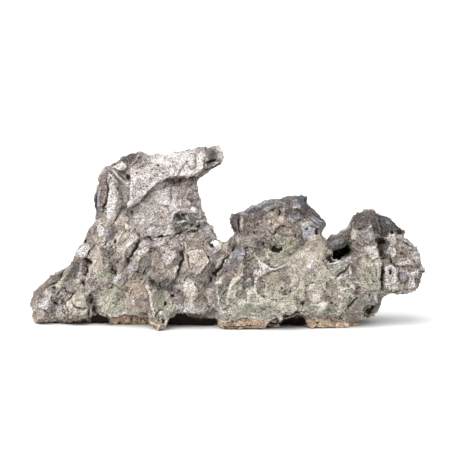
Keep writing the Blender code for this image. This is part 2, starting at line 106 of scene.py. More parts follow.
AREAS = (
    # the tall cliff
    Area("chalk", 0.45, "134,208 160,188 205,182 207,212 175,214 172,234 150,238 128,226"),
    Area("chalk", 0.60, "155,197 160,190 168,188 170,195 170,204 163,206 157,203", 0.6),
    Area("umber", 0.40, "171,185 184,184 198,184 200,196 196,204 190,206 182,202 180,194 172,192"),
    Area("ochre", 0.30, "152,206 157,203 163,205 168,208 169,215 162,217 154,215", 0.6),
    Area("chalk", 0.85,
         "130,167 133,166 142,160 144,154 165,153 182,152 192,149 198,145 204,147 206,156 205,163 199,172"
         " 194,175 174,176 163,179 157,183 151,191 146,196 142,200 133,205 127,209 126,204 130,200", 0.4),
    Area("stone", 0.50, "136,156 146,154 158,156 156,164 146,166 138,163"),
    Area("umber", 0.30, "145,170 160,166 172,170 168,177 158,181 148,184"),
    Area("umber", 0.20, "132,186 142,182 148,188 142,197 133,200"),
    Area("chalk", 0.90, "180,176 179,172 182,166 186,163 189,168 192,170 195,174", 1.0),
    Area("chalk", 0.90, "187,162 188,156 194,155 195,161 194,167 190,166", 1.0),
    Area("chalk", 0.90, "196,157 201,155 204,161 205,168 201,170 196,170", 1.0),
    Area("chalk", 1.00,
         "111,183 115,184 118,191 120,200 119,208 116,215 110,222 107,217 106,208 108,196", 0.4),
    Area("chalk", 0.95,
         "110.5,168.5 114,165.5 118,163 122,161.8 126,163 127.3,166.5 125.5,170 121,171 117.5,169.5"
         " 114.5,168.3", 0.7),
    Area("dark_slate", 0.85,
         "106,167 112,166 118,161.5 123,157 130,153 137,152 137,158 134,162 130,165 127,162.5 122,161"
         " 116,164 110,168"),
    Area("umber", 0.50, "136,153 142,152 142,158 138,164 131,167 134,161"),
    Area("slate", 0.85, "94,188 98,190 101,194 101,212 98,219 94,220"),
    Area("umber", 0.60, "98,178 101,173 107,171 108,178 106,188 100,189", 0.8),
    Area("umber", 0.60, "101,191 106,191 107,200 104,212 100,218 101,204"),
    Area("slate_moss", 0.70, "118,184 124,182 129,184 129,198 125,203 120,202"),
    # painted shade in umber under the plate's overhang
    Area("umber", 0.60, "172,177 200,176 206,171 203,179 198,184 190,186 178,184 172,184"),
    Area("umber", 0.75, "154,187 160,183 170,179 172,185 160,190 151,194", -0.6),
    Area("dark_moss", 0.95,
         "173,217 177,212 182,210.5 188,212 192,215 198,219 206,222 206,229 198,232 190,231 186,232 180,236"
         " 175,234 172,225", -0.3),
    Area("dark_slate", 0.50, "113,224 118,226 117,233 112,239 106,241 105,236 110,230"),
    Area("umber", 0.35, "86,230 94,222 98,226 97,236 100,243 94,247 88,243 85,238"),
    Area("chalk", 0.85, "97,227 100,225 104,228 104,234 101,238 98,235", 0.7),
    Area("chalk", 0.80, "80,247 84,243 89,244 90,248 88,253 84,257 78,257 74,256 76,252", 0.8),
    # the broken end of the plate
    Area("umber", 0.45, "190,150 198,145 207,147 207,156 200,153 194,156"),
    Area("dark_slate", 0.80, "206,151 209,148 213,148.5 216,153 216,159 211,161 207,159", 0.6),
    Area("chalk", 0.75, "214,145 219,145 222,149 226,155 223,160 218,157 217,150", 0.4),
    Area("umber", 0.80, "205,168 210,168 220,162 222,164 217,169 208,171 204,175"),
    Area("chalk", 0.65, "209,163.5 217,161.5 219,164 215,167 209,167", 0.4),
    # the slope
    Area("umber", 0.85,
         "76,258 82,258 83,262 80,268 78,274 77,279 70,281 62,283 59,281 66,278 71,272 73,266"),
    Area("dark_slate", 0.55, "75,261 81,261 77,272 72,278 64,281 70,272"),
    Area("cream", 0.65, "67,267 70,268 69,273 65,277 61,279 62,274 64,270", 0.5),
    Area("cream", 0.60, "91,253 97,251 102,254 103,262 103,270 100,276 94,277 91,270 89,262"),
    Area("moss", 0.60, "104,256 109,258 110,268 112,275 110,283 104,284 98,282 96,277 102,272"),
    Area("umber", 0.80, "83,258 88,259 92,261 92,265 88,268 85,268 82,265", -0.8),
    Area("umber", 0.85, "82,264 86,267 87,272 87,277 84,277 82,271", -0.8),
    Area("slate_moss", 0.30, "112,255 120,256 124,262 120,270 114,272"),
    # the toe
    Area("pebble", 0.85,
         "31,309 30,303 33,295 38,289 43,284 50,276 56,272 61,272 58,279 54,283 48,284 44,287 40,291 37,297"
         " 36,303 34,309"),
    Area("cream", 0.60, "40,291 45,289 50,290 50,294 46,296 41,296", 0.5),
    Area("chalk", 0.60, "37,304 41,301 49,301 50,307 46,310 40,309", 0.5),
    Area("cream", 0.45, "35,309 42,309 46,313 44,319 37,320"),
    Area("umber", 0.75, "45,311 49,309 51,314 50,318 45,318", -0.6),
    Area("chalk", 0.55, "56,306 62,304 61,317 56,318", 0.3),
    Area("cream", 0.75, "73,294 79,291 84,294 87,300 87,306 82,309 76,308 69,309 67,304 70,299", 0.8),
    Area("moss", 0.55, "68,309 78,310 87,308 87,314 78,316 68,316"),
    Area("umber", 0.85, "88,294 91,291 93.5,294 93,298 94,303 90.5,305 89,301 86.5,298", -0.6),
    Area("umber", 0.55, "94,303 98,301 98,312 95,318 88,322 88,308 92,306", -0.4),
    Area("umber", 0.85,
         "30,319 36,321.5 43,319.5 52,317.5 60,319.5 68,318 80,317 88,320 93,321 93,327 30,327"),
    Area("soot", 1.00, "79,323.5 81,319.5 84,318 87,319.5 88,323.5", -1.5),
    # the pale apron between the toe and the cliff's foot
    Area("cream", 0.75, "99,292 110,289 126,292 140,296 151,312 125,315 100,312"),
    Area("moss", 0.70,
         "99,294 106,290 116,290 122,296 124,304 132,308 140,312 125,315 110,315 100,312", 0.2),
    Area("dark_moss", 0.25, "113,297 118,296 120,301 118,306 113,305"),
    Area("umber", 0.40, "134,297 144,296 149,302 151,312 146,315 136,309"),
    Area("ochre", 0.60, "128,277 133,275 139,277 144,281 146,290 140,296 132,293 125,291 120,289 126,284"),
    Area("ochre", 0.45, "106,286 113,284 118,288 114,290 108,290"),
    Area("crust", 1.00,
         "101,317 107,316 112,318 118,317 124,315 130,316 137,317 144,319 154,318 155,326 104,326", 0.6),
    # painted shade: the black under the arch
    Area("soot", 1.00, "93,327 95,316.5 97,313.5 99,314.5 101,317 106,317.5 108,320 110,323 111,327", -3.0),
    # the middle foot of the cliff
    Area("chalk", 0.35, "151,238 182,238 184,244 170,243 158,248 150,249"),
    Area("slate_moss", 0.55, "134,256 146,256 149,266 146,276 138,272 131,270"),
    Area("umber", 0.20,
         "151,252 158,248 168,243 177,246 179,252 178,262 174,272 168,278 160,278 152,274 149,264", 0.3),
    Area("chalk", 0.28, "162,255 167,250 175,250 177,256 174,261 167,264 162,261", 0.3),
    Area("umber", 0.40, "150,252 158,250 161,258 160,270 155,275 150,266"),
    Area("ice", 0.50,
         "131,260 133,264 131,271 127,277 123,284 117,287 112,284 114,278 121,272 127,265", 0.6),
    Area("chalk", 0.30, "142,241 146,240 150,243 149,250 145,253 141,252 140,247", 1.2),
    Area("umber", 0.65, "185,241 204,239 205,244 203,248 196,247 188,248", -0.5),
    Area("cream", 0.50,
         "188,253 190,250.5 196,248.5 203,249.5 206,253 209.5,259 208,263 205,267 201,271 197,274.5 193,272"
         " 190,266 188,259", 0.4),
    Area("cream", 0.50, "182,255 187,259 189,266 190,275 184,277 181,268", 0.4),
    Area("ice", 0.35, "206,246 218,248 220,256 214,262 210,257"),
    Area("umber", 0.28, "209,263 222,261 219,267 212,274 202,276 207,268"),
    Area("cream", 0.55, "220,243 226,241 228,247 226,254 222,260 217,266 218,260 220,253", 0.4),
    Area("soot", 0.85,
         "232,247 228,252 224,259 220,265 215,270 211,274 214,276 219,272 224,265 228,258 232,252", -1.5),
    Area("cream", 0.55,
         "181,284 183,280 188,278 193,279 198,283 202,287 200,290 196,292 192,296 188,298 184,294"
         " 181,289", 0.9),
    Area("umber", 0.45, "193,296 198,292 206,290 206,298 200,302 194,300"),
    Area("chalk", 0.70, "176,286 180,283 182,286 180,290 177,290", 0.6),
    Area("dark_moss", 0.85,
         "147,275 152,280 160,283 166,279 172,281 177,278 176,287 174,293 170,292 165,291 160,291 155,290"
         " 150,284", -0.8),
    Area("moss", 0.60, "153,292 160,290 167,292 167,299 162,304 160,310 155,314 153,303"),
    Area("dark_moss", 0.45, "155,290 162,290 166,295 160,300 155,298"),
    Area("umber", 0.65, "164,302 168,301 171,304 167,308 164,307", -0.6),
    Area("moss", 0.65, "166,305 173,302 178,304 178,312 170,316 165,312"),
    Area("cream", 0.40, "155,318 157,312 162,309 166,313 167,320 164,326 160,327.5 157,325 155,321", 0.2),
    Area("chalk", 0.85, "184,305 189,303 193,304 197,308 204,311 200,314.5 190,313.5 183,312", 0.4),
    Area("chalk", 0.50, "209,288 215,287 217,296 216,306 211,310 208,300", 0.4),
    Area("dark_moss", 0.50, "218,285 224,283 227,290 226,300 223,305 219,304 216,297"),
    Area("chalk", 0.45, "214,308 222,306 226,314 224,321 216,318", 0.3),
    # painted shade: the black under the wide arch
    Area("soot", 1.00,
         "166,328 169,320 174,318.5 177,314.5 184,314.5 190,318 196,321 200,324 200,329", -3.5),
    Area("umber", 0.90,
         "185,314.5 192,314.5 204,315.5 208,318 204,321.5 199,323 194,320.5 189,317.5", -1.0),
    Area("soot", 1.00, "199,329 200,323 205,320.5 207,318.5 212,319.5 217,320 218,329", -3.0),
    # the second peak: its slate roof
    Area("slate", 0.95,
         "230,219 236,213 245,208 256,203 268,200 281,197 292,196 300,195 307,195 308,203 303,208 297,207"
         " 292,203 285,202 275,204 268,207 260,210 250,214 241,217 237,220", 0.3),
    Area("dark_slate", 0.65, "243,215 250,209.5 258,207.5 266,208.5 268,212 262,214 256,212.5 248,215"),
    Area("dark_slate", 0.95, "230,219 233,215 238,214 240,217 238,226 237,234 233,230 230,224", 0.4),
    Area("umber", 0.42, "240,216 262,213 268,220 266,236 270,246 256,250 242,246"),
    Area("umber", 0.85, "286,199 291,198 291,206 290,214 286,220 284,214", -0.8),
    Area("ice", 0.55, "291,201 297,199 300,204 302,209 297,210 292,207", 0.2),
    Area("dark_moss", 0.80, "289,210 296,208 303,210 306,215 303,219 299,214 290,214", -0.5),
    Area("ice", 0.85, "288,219 290,215 295,214 299,216 300,219 296,219 293,217 290,220", 0.5),
    Area("dark_slate", 0.85,
         "305,202 311,208 319,213 328,221 327,226 320,228 313,226 307,221 302,215 299,209", 0.3),
    Area("ice", 0.70,
         "302,229 304,224 309,224 314,227 318,227 315,231 312,236 308,240 304,240 301,236", 0.3),
    Area("ochre", 0.45, "268,217 272,213 280,214 284,218 283,224 277,226 270,223", 0.3),
    Area("cream", 0.50, "269,228 275,227 277,230 272,233.5", 0.4),
    Area("ochre", 0.45, "281,227 289,224 296,226 297,231 292,235 284,235 280,231"),
    # its green face
    Area("moss", 0.45, "262,252 284,240 300,238 302,262 290,264 280,262 266,262"),
    Area("olive", 0.55, "282,240 290,237 300,240 299,250 288,252"),
    Area("dark_moss", 0.40, "243,246 254,238 264,244 266,256 256,262 248,262 246,254"),
    Area("cream", 0.60, "286,262 300,250 322,262 345,290 340,304 312,302 300,290 288,280"),
    Area("cream", 0.75, "312,234 321,235 327,244 326,256 320,262 313,268 303,270 298,264 302,252 306,242"),
    Area("moss", 0.45, "296,266 312,266 322,262 330,276 322,290 300,288 294,280"),
    Area("cream", 0.45, "264,276 289,270 290,290 276,296"),
    Area("olive", 0.45,
         "262,276 270,273 280,270 289,270 291,280 288,290 280,296 270,297 263,297 258,294 256,288"
         " 256,281", -0.8),
    Area("dark_moss", 0.45, "279,276 288,274 291,282 289,292 282,294 278,286"),
    Area("umber", 0.90, "267.5,247.4 270,245.6 274,245.6 277,247 276,250 270,250", -1.0),
    Area("soot", 1.00, "270,249 274,246.8 278,248 282,246.8 282.4,249.8 279,252 274,251.4", -2.0),
    Area("chalk", 0.48, "257,259 262,264 268,266 274,269 266,274 260,276 253,275 253,270 259,268", 0.6),
    Area("chalk", 1.00, "306,264 309,260 312,258.5 313,262 311,265 309,268 307,267", 0.6),
    Area("cream", 0.65,
         "247,292 252,290 256,295 263,299.5 272,300.5 280,303 290,301 297,300 299,308 293,312 286,306"
         " 272,304 258,302 248,300", 0.3),
    Area("moss", 0.85,
         "235,306 246,302 256,301 270,303 284,305 291,304 292,309 284,313 272,317 262,319 250,319 240,317"
         " 233,312"),
    Area("dark_moss", 0.30, "246,308 256,304 266,308 264,314 252,316 246,313"),
    Area("cream", 0.85, "229,285 232,279 238,275.5 241,277 238,281 232,286 230,291 228,290", 1.0),
    Area("slate", 0.70,
         "240,246 243,249 245,254 244,258 241,262 237,266 233,268 228,270 224,271 222,270 226,263 229,258"
         " 231,252 236,248", 1.0),
    Area("cream", 0.75,
         "308,289 311,285 316,286 319,288 323,292 324,297 320,301 316,304 311,302 307,296", 0.9),
    Area("ice", 0.35, "310,292 315,290 318,294 316,300 311,300"),
    Area("umber", 0.60, "320,298 325,295 328,300 324,303 320,303", -0.5),
    # the feet of the second peak
    Area("crust", 0.90,
         "216,321 224,323 232,324 236,318 240,319 247,320.5 256,320.5 266,321 264,330 216,330"),
    Area("crust", 0.85, "303,320 315,320 330,322 346,322 346,330 303,330"),
    Area("umber", 0.70, "303,315 312,314 322,317 334,319 346,320 344,323 315,320 303,320"),
    Area("moss", 0.65, "306,304 322,306 340,305 342,316 325,317 305,313"),
    # painted shade: the black of the recess and of the arch beside it
    Area("soot", 0.85, "267,325 270,321.5 274,319 279,317.5 280,325 272,326", -2.0),
    Area("soot", 1.00,
         "281,329 283,320 281,316 285,314 290,315 294,313 300,310 301,313 303,318 305,322 306,329", -3.5),
    Area("crust", 0.60, "291,317 295,315 299,315 303,319 297,320 292,319.5", 1.5),
    # the saddle, the far peak and its cave
    Area("dark_slate", 0.65,
         "325,245 331,238 336,236 341,234 349,227 353,230 350,238 344,243 338,246 333,249 328,250"),
    Area("slate", 0.75, "331,240 338,239 341,243 338,246 333,248", 0.3),
    # the cave, painted as shade: a dark rim and a black core
    Area("dark_moss", 0.85,
         "327,262.5 328,257 332,252 338,247 345,244.5 351,245 349,251 345,256 339,260.5 333,263", -1.0),
    Area("soot", 0.62, "329,261 332,256 338,250.5 343,247 348,246 348,251 344,255.5 338,259 332,262", -1.0),
    Area("soot", 1.00, "335,256.5 338,252 343,248.5 346.5,248 345,252 341,255.5", -1.0),
    Area("umber", 0.60, "351,246 356,243 361,249 361,258 355,260 350,254"),
    Area("umber", 0.75, "351,219 358,213 367,209 374,208 373,216 371,226 362,230 352,230 349,224"),
    Area("dark_slate", 0.50, "351,219 358,213 367,209 374,208 376,214 370,219 366,226 358,229 351,228"),
    Area("dark_slate", 0.95,
         "370,219 375,213 381,215 387,215 393,219 398,224 402,229 406,229 406,235 400,233 395,230 390,232"
         " 388,237 384,240 378,240 376,236 372,228", 0.3),
    Area("soot", 0.78, "376,239 379,237.5 384,239 385,243 381,246 378,245 375,243", -1.2),
    Area("umber", 0.50, "378,246 383,245 384,256 382,263 379,256", -0.4),
    Area("slate", 0.60, "357,231 363,228 372,228 375,236 374,244 364,241 357,240"),
    Area("ice", 0.35, "360,231 368,229 373,234 370,241 363,238"),
    Area("chalk", 0.40, "362,244 374,244 379,256 374,261 368,256 361,252"),
    Area("slate_moss", 0.85,
         "329,263 337,262.5 341,258.5 347,256 351,258 349,263 346,268 342,270 338,274 333,276"
         " 328,272", 0.8),
    # painted shade in umber below the step
    Area("umber", 0.75, "350,264 353,262.5 356,267 356,273 353,272 351,268", -0.8),
    Area("cream", 0.85, "361,258 364,256 368,260 374,263 373,267 367,268 361,267", 0.6),
    Area("moss", 0.60, "360,269 368,267 376,268 379,276 380,284 376,292 366,290 360,283 358,275"),
    # the knob
    Area("umber", 0.50, "384,240 404,236 424,254 424,290 384,292 382,268"),
    Area("chalk", 0.50, "385,238 390,235 394,233 398,237 397,245 391,246 386,244", 0.6),
    Area("ice", 0.40, "402,238 408,239 416,245 414,249 406,246 401,243"),
    Area("umber", 0.65, "396,249 402,246 409,249 411,254 406,258 398,257", -0.5),
    Area("chalk", 0.45, "390,248 395,247 396,255 391,256", 0.3),
    Area("chalk", 0.40, "410,252 416,250 422,253 422,262 415,262 410,258", 0.3),
    Area("umber", 0.80, "384,255 392,254 394,260 391,265 385,263", -0.8),
    Area("chalk", 0.35, "396,259 410,258 413,264 404,265 397,263"),
    Area("umber", 0.60, "391,262 398,264.5 408,266.5 419,264.5 420,268.5 407,269 397,268.5", -0.8),
    Area("ice", 0.75, "420,265 424,264 427,268 425,272 421,270", 0.6),
    Area("chalk", 0.58, "385,266 392,265 397,270 399,279 398,288 390,290 385,288", 0.5),
    Area("ice", 0.50, "397,270 405,270 409,273 406,279 402,283 398,277", 0.4),
    Area("slate", 0.90, "404,284 406,279 409,279 408,285 405,288", -0.8),
    Area("chalk", 0.60, "409,274 413,271 418,271 418,287 409,288", 0.5),
    Area("umber", 0.90, "418,273 421,270.5 426,271 423,277 420,281 420,290 416,289 417,279"),
    # painted shade in umber down the pillar's right side
    Area("umber", 0.85, "380,265 385,264 385,275 384,290 381,292 380,280", -1.2),
    Area("umber", 0.60, "385,289 395,290 406,288 400,293 388,293"),
    # the right leg and foot
    Area("slate_moss", 0.60, "365,293 376,291 384,292 382,300 376,306 366,305"),
    Area("umber", 0.80, "379,298 384,296 383,302 379,307 373,314 369,317 371,308"),
    Area("soot", 0.70, "363,311 367,307 372,304.5 374,306 371,311 369,317 366,315", -2.0),
    Area("soot", 0.85, "345,311 349,306 353,301 358,297 360,298 357,302 352,307 349,311", -1.8),
    Area("slate_moss", 0.80, "351,309 355,305 360,301 364,298 364,303 359,307 354,310", 0.3),
    Area("umber", 0.60, "345,312 354,310 362,308 360,324 345,324"),
)

SPOTS = (
    # the tall cliff
    Spot("umber", 0.55, (150, 163), (2.6, 1.8), 0.0, 20),
    Spot("umber", 0.60, (163, 168), (3.4, 2.4), 0.0, -10),
    Spot("umber", 0.50, (155, 175), (3.6, 2.2), 0.0, 10),
    Spot("umber", 0.50, (140, 181), (2.4, 4.4), 0.0, 20),
    Spot("umber", 0.45, (172, 160), (2.4, 3.4)),
    Spot("ochre", 0.45, (146, 172), (4.4, 2.4), 0.0, 30),
    Spot("ochre", 0.35, (160, 158), (4.4, 2.0), 0.0, 10),
    Spot("soot", 0.45, (199, 147.5), (3.4, 1.6)),
    Spot("cream", 0.70, (126, 184), (2.8, 2.6), 0.8),
    Spot("dark_slate", 0.75, (124, 206), (3.4, 4.6), -1.5),
    Spot("soot", 0.90, (127, 177), (1.7, 3.4), -2.0),
    Spot("ice", 0.50, (98.5, 200), (1.5, 9)),
    Spot("chalk", 0.80, (196, 195.5), (3.6, 3.8), 1.5),
    Spot("chalk", 0.70, (194, 210), (4.0, 3.6), 1.5),
    Spot("cream", 0.60, (187.6, 203), (3.8, 4.0), 1.2),
    Spot("umber", 0.75, (192, 200), (3.4, 2.6), -1.2),
    Spot("umber", 0.55, (135.5, 223.5), (5, 3.4), 1.0, 10),
    Spot("ochre", 0.35, (130, 236), (4, 6)),
    Spot("soot", 0.85, (178, 216), (2.8, 2.4), -0.8),
    Spot("soot", 0.85, (184, 214.5), (2.6, 1.8), -0.8),
    Spot("soot", 0.80, (176, 229), (2.2, 3.2), -0.8),
    Spot("soot", 0.75, (181.5, 231), (2.2, 2.2), -0.8),
    Spot("soot", 0.85, (192, 225.5), (2.4, 2.0), -0.8),
    Spot("soot", 0.80, (198, 226.5), (2.6, 1.6), -0.8),
    Spot("soot", 0.85, (193.5, 230.5), (3.4, 1.4), -0.8),
    Spot("chalk", 0.60, (187.5, 219), (1.8, 3.4), 0.4),
    Spot("moss", 0.70, (202, 223), (2.8, 2.0), 0.4),
    # round the bend of the cliff's edge
    Spot("chalk", 0.70, (129, 246), (3.4, 6.4), 0.6, 10),
    Spot("soot", 0.85, (115.5, 241), (1.5, 3.0), -1.6),
    Spot("soot", 0.80, (112, 246.5), (1.7, 1.8), -1.2),
    Spot("soot", 0.70, (102, 242.5), (1.4, 1.2), -1.0),
    Spot("ice", 0.45, (108, 232), (3.4, 5)),
    Spot("ice", 0.45, (110, 241.5), (3, 3.4)),
    Spot("umber", 0.70, (102, 249), (3.4, 2.8), -0.6),
    # the slope and the toe
    Spot("soot", 0.95, (84.5, 240.5), (1.8, 1.8), -1.6),
    Spot("soot", 0.65, (116, 262), (2.4, 3.4), -0.8, 20),
    Spot("soot", 0.95, (53.5, 287), (1.9, 2.3), -1.8),
    Spot("soot", 0.90, (66.5, 291.5), (1.6, 1.5), -1.4),
    Spot("soot", 0.90, (56, 303.5), (2.6, 1.7), -1.6, -20),
    Spot("soot", 0.85, (88, 308.5), (1.4, 1.2), -1.0),
    Spot("soot", 0.90, (90, 296), (1.3, 2.2), -1.0, 20),
    Spot("soot", 0.90, (92, 301.5), (1.3, 2.4), -1.0, -20),
    Spot("ice", 0.45, (67, 286), (4, 3), 0.0, 40),
    Spot("umber", 0.50, (40, 315), (2.6, 1.8)),
    Spot("chalk", 0.75, (51, 321.5), (6, 1.4)),
    Spot("dark_moss", 0.60, (113.5, 303), (2.0, 1.8), -0.4),
    Spot("dark_moss", 0.55, (118.5, 299), (1.6, 2.2), -0.4),
    Spot("cream", 0.65, (107, 297), (3.6, 3.0), 0.4),
    # the diagonal crease and the lower middle
    Spot("chalk", 0.75, (139.5, 253), (1.7, 3.0), 0.5),
    Spot("cream", 0.65, (138.5, 258.5), (3.8, 3.0), 0.5),
    Spot("umber", 0.50, (148.5, 245), (1.4, 2.6)),
    Spot("ice", 0.90, (125, 277), (1.9, 2.6), 0.3, 30),
    Spot("ice", 0.90, (128, 269.5), (1.5, 2.2), 0.3, 30),
    Spot("soot", 0.60, (127, 266.5), (1.3, 1.4), -0.6),
    Spot("soot", 0.60, (119, 280), (1.8, 1.4), -0.6),
    Spot("soot", 0.55, (122, 274), (1.2, 1.6), -0.6),
    Spot("umber", 0.60, (128, 288), (2.6, 1.8), -0.6),
    Spot("soot", 0.75, (188, 256), (1.3, 2.4), -0.6),
    Spot("soot", 0.70, (192, 269), (1.5, 1.8), -0.6),
    Spot("ochre", 0.40, (205, 258), (2.6, 4)),
    Spot("chalk", 0.95, (189, 282), (3.0, 2.0), 0.3, 10),
    Spot("umber", 0.55, (182, 295), (1.8, 4), -0.6),
    Spot("soot", 0.90, (165, 303.5), (1.9, 2.8), -1.8),
    Spot("soot", 0.90, (173, 296), (2.8, 1.8), -1.6),
    Spot("moss", 0.70, (170, 307), (3.6, 3.6), 1.0),
    Spot("moss", 0.60, (157, 296), (2.6, 3.0), 0.6),
    Spot("soot", 1.00, (163.5, 321), (1.4, 2.8), -2.0, 10),
    Spot("cream", 0.55, (212, 292), (3.2, 3.4), 0.8),
    Spot("cream", 0.55, (213, 302), (3.4, 3.6), 0.8),
    Spot("moss", 0.55, (212, 311), (3.0, 3.0), 0.8),
    # the second peak
    # painted sheen in pale blue along the slate roof
    Spot("ice", 0.75, (258, 206), (3.0, 1.3), 0.0, -15),
    Spot("ice", 0.80, (266.5, 208.5), (2.6, 1.5), 0.0, 20),
    Spot("ice", 0.65, (244, 213.5), (2.6, 1.2), 0.0, -20),
    Spot("ice", 0.60, (277, 201.5), (3.4, 1.0), 0.0, -15),
    Spot("soot", 0.85, (272, 210), (1.9, 1.6), -1.2),
    Spot("soot", 0.85, (253.5, 232), (1.6, 1.9), -1.2),
    Spot("soot", 0.80, (247.5, 234), (1.4, 1.3), -1.0),
    Spot("soot", 0.80, (256.5, 225), (1.2, 1.9), -1.0),
    Spot("ice", 0.75, (251, 225), (1.6, 2.6)),
    Spot("umber", 0.40, (262, 224), (3, 3)),
    Spot("soot", 0.90, (283.5, 225.5), (2.8, 1.2), -1.2),
    Spot("cream", 0.60, (281, 219), (3.0, 4.4), 0.4),
    Spot("dark_moss", 0.70, (298, 221), (2.6, 2.4), -0.4),
    Spot("soot", 0.80, (305, 200), (1.4, 3.0), -0.4),
    Spot("soot", 0.90, (307, 229), (1.3, 1.4), -0.8),
    Spot("soot", 1.00, (317, 232), (2.1, 3.3), -2.2),
    Spot("slate", 0.60, (310, 234), (2.2, 2.0), -0.6),
    Spot("moss", 0.60, (281, 241), (3.4, 4), 0.5),
    Spot("olive", 0.45, (293, 244), (5, 4.4)),
    Spot("cream", 0.75, (271.5, 253), (3.2, 2.8), 0.5),
    Spot("soot", 0.75, (263, 245), (1.6, 1.6), -1.0),
    Spot("soot", 0.65, (266.5, 247.5), (1.5, 1.5), -0.8),
    Spot("soot", 0.60, (260, 250), (1.3, 1.8), -0.8),
    Spot("dark_moss", 0.75, (231, 244.5), (2.4, 4.6), -0.5, 20),
    Spot("ice", 0.65, (231, 256), (1.6, 2.4), 0.0, 20),
    Spot("ice", 0.70, (243, 253), (1.4, 2.4)),
    Spot("ice", 0.60, (228, 263), (1.8, 2.6), 0.0, 30),
    Spot("ice", 0.85, (248.5, 280), (2.0, 3.0), 0.4),
    Spot("cream", 0.55, (258, 284), (2.6, 4)),
    Spot("ice", 0.70, (260.5, 287), (1.6, 1.8), 0.3),
    Spot("chalk", 0.80, (265, 266.5), (3.0, 3.4), 0.5),
    Spot("soot", 0.75, (258, 270), (1.2, 1.2), -0.6),
    Spot("soot", 0.70, (262, 268), (1.1, 1.1), -0.6),
    Spot("soot", 0.70, (255, 274), (1.2, 1.1), -0.6),
    Spot("ice", 0.25, (283.5, 286), (2.6, 4.4)),
    Spot("chalk", 0.50, (276, 293), (2.4, 2.2), 0.4),
    Spot("moss", 0.70, (231, 303), (2.8, 6), 0.5),
    Spot("cream", 0.80, (294, 303.5), (2.2, 2.6), 0.5),
    Spot("cream", 0.55, (282, 307), (5, 3)),
    Spot("chalk", 0.55, (238, 311), (2.6, 2.0), 0.4),
    Spot("dark_moss", 0.60, (262, 310), (4, 1.8), -0.4, 10),
    Spot("soot", 0.85, (231, 325), (2.6, 1.2), -0.6),
    Spot("soot", 0.75, (247, 318.5), (2.4, 1.2), -0.6, 10),
    Spot("ochre", 0.60, (243, 323), (4.4, 1.6)),
    Spot("chalk", 0.75, (280.5, 319.5), (1.5, 3.6), 0.3),
    # the egg and its neighbours
    Spot("slate", 0.55, (315, 276), (2.0, 2.0), -0.4),
    Spot("olive", 0.40, (310, 273), (6, 3.4)),
    Spot("cream", 0.60, (318, 311), (4.0, 2.6), 0.5),
    Spot("dark_moss", 0.60, (331, 311), (6, 2.8), -0.4),
    Spot("dark_moss", 0.50, (325, 315), (4, 1.6), -0.4),
    Spot("chalk", 0.60, (340, 306), (3.0, 1.6), 0.3, 20),
    Spot("ochre", 0.50, (312, 323), (4.4, 1.6)),
    Spot("umber", 0.55, (333, 323.5), (6, 1.6)),
    # the saddle and the far peak
    Spot("soot", 0.55, (352.4, 257), (1.4, 2.6), -0.6),
    Spot("moss", 0.45, (331, 251.5), (3.6, 1.8), 0.0, -15),
    # painted sheen in pale blue on the slate of the saddle
    Spot("ice", 0.60, (335, 243), (5.0, 3.0), 0.0, 30),
    Spot("ice", 0.80, (361, 223), (1.6, 1.4)),
    Spot("ice", 0.80, (363.5, 217), (1.6, 1.4)),
    Spot("ice", 0.70, (359.5, 226), (1.4, 1.3)),
    Spot("soot", 0.75, (354, 222), (1.4, 2.4), -0.8),
    Spot("soot", 0.75, (360, 228.5), (2.6, 1.3), -0.8),
    Spot("soot", 0.75, (358, 218), (1.2, 1.6), -0.6),
    Spot("chalk", 0.60, (353, 232.5), (2.0, 2.6)),
    Spot("soot", 1.00, (392, 232.5), (2.0, 1.6), -1.4),
    Spot("soot", 1.00, (399.5, 232.5), (3.2, 2.2), -1.2, -10),
    Spot("ice", 0.50, (388, 223), (2.4, 1.4), 0.3, -30),
    Spot("chalk", 0.60, (368, 249), (3.0, 3.6), 0.4),
    Spot("ice", 0.50, (363, 236), (1.6, 3)),
    Spot("chalk", 0.60, (351, 276), (1.8, 5.4), 0.5),
    Spot("cream", 0.65, (336, 283), (5, 3.4), 0.5),
    Spot("cream", 0.55, (352, 284), (4, 4), 0.5, 20),
    Spot("umber", 0.55, (338, 290), (2.6, 2.0), -0.6),
    Spot("cream", 0.60, (335, 303), (4.4, 2.6), 0.6, 20),
    Spot("soot", 0.60, (345, 291), (1.4, 1.6), -0.5),
    Spot("chalk", 0.50, (340, 298), (3.4, 2.8), 0.4),
    # the knob
    Spot("soot", 1.00, (384, 272), (1.6, 3.6), -1.8),
    Spot("soot", 0.95, (390.5, 272), (1.5, 3.6), -1.4),
    Spot("soot", 0.75, (390, 280), (1.6, 1.8), -0.8),
    Spot("soot", 0.70, (402, 253), (3.0, 2.0), -0.8),
    Spot("umber", 0.40, (391, 250), (2.4, 3.4), -0.6),
    Spot("soot", 0.45, (385.5, 251), (1.3, 3.4), -0.6),
    Spot("dark_slate", 0.60, (411, 250), (2.4, 1.6), -0.6),
    Spot("chalk", 0.60, (417, 259), (3.4, 2.6), 0.3),
    Spot("umber", 0.60, (404, 260), (3, 1.6), -0.5),
    Spot("soot", 0.80, (422, 271.5), (2.8, 1.1), -0.8),
    Spot("soot", 0.65, (401.5, 282), (1.4, 3.0), -0.6),
    Spot("umber", 0.55, (415, 280), (1.6, 3.6), -0.4),
    Spot("chalk", 0.70, (376.5, 299), (1.6, 5), 0.3, 10),
    # stains laid over the plates
    Spot("umber", 0.65, (98, 184), (7, 5)),
    Spot("umber", 0.35, (136, 165), (7, 5), 0.0, 30),
    Spot("umber", 0.40, (205, 149), (6, 4), 0.0, 20),
    Spot("umber", 0.45, (213, 165), (6, 3), 0.0, 10),
    Spot("slate_moss", 0.50, (184, 207), (6, 4)),
    Spot("umber", 0.55, (165, 218), (6, 4)),
    Spot("dark_moss", 0.65, (175, 227), (5, 7)),
    Spot("umber", 0.35, (138, 228), (8, 5), 0.0, -20),
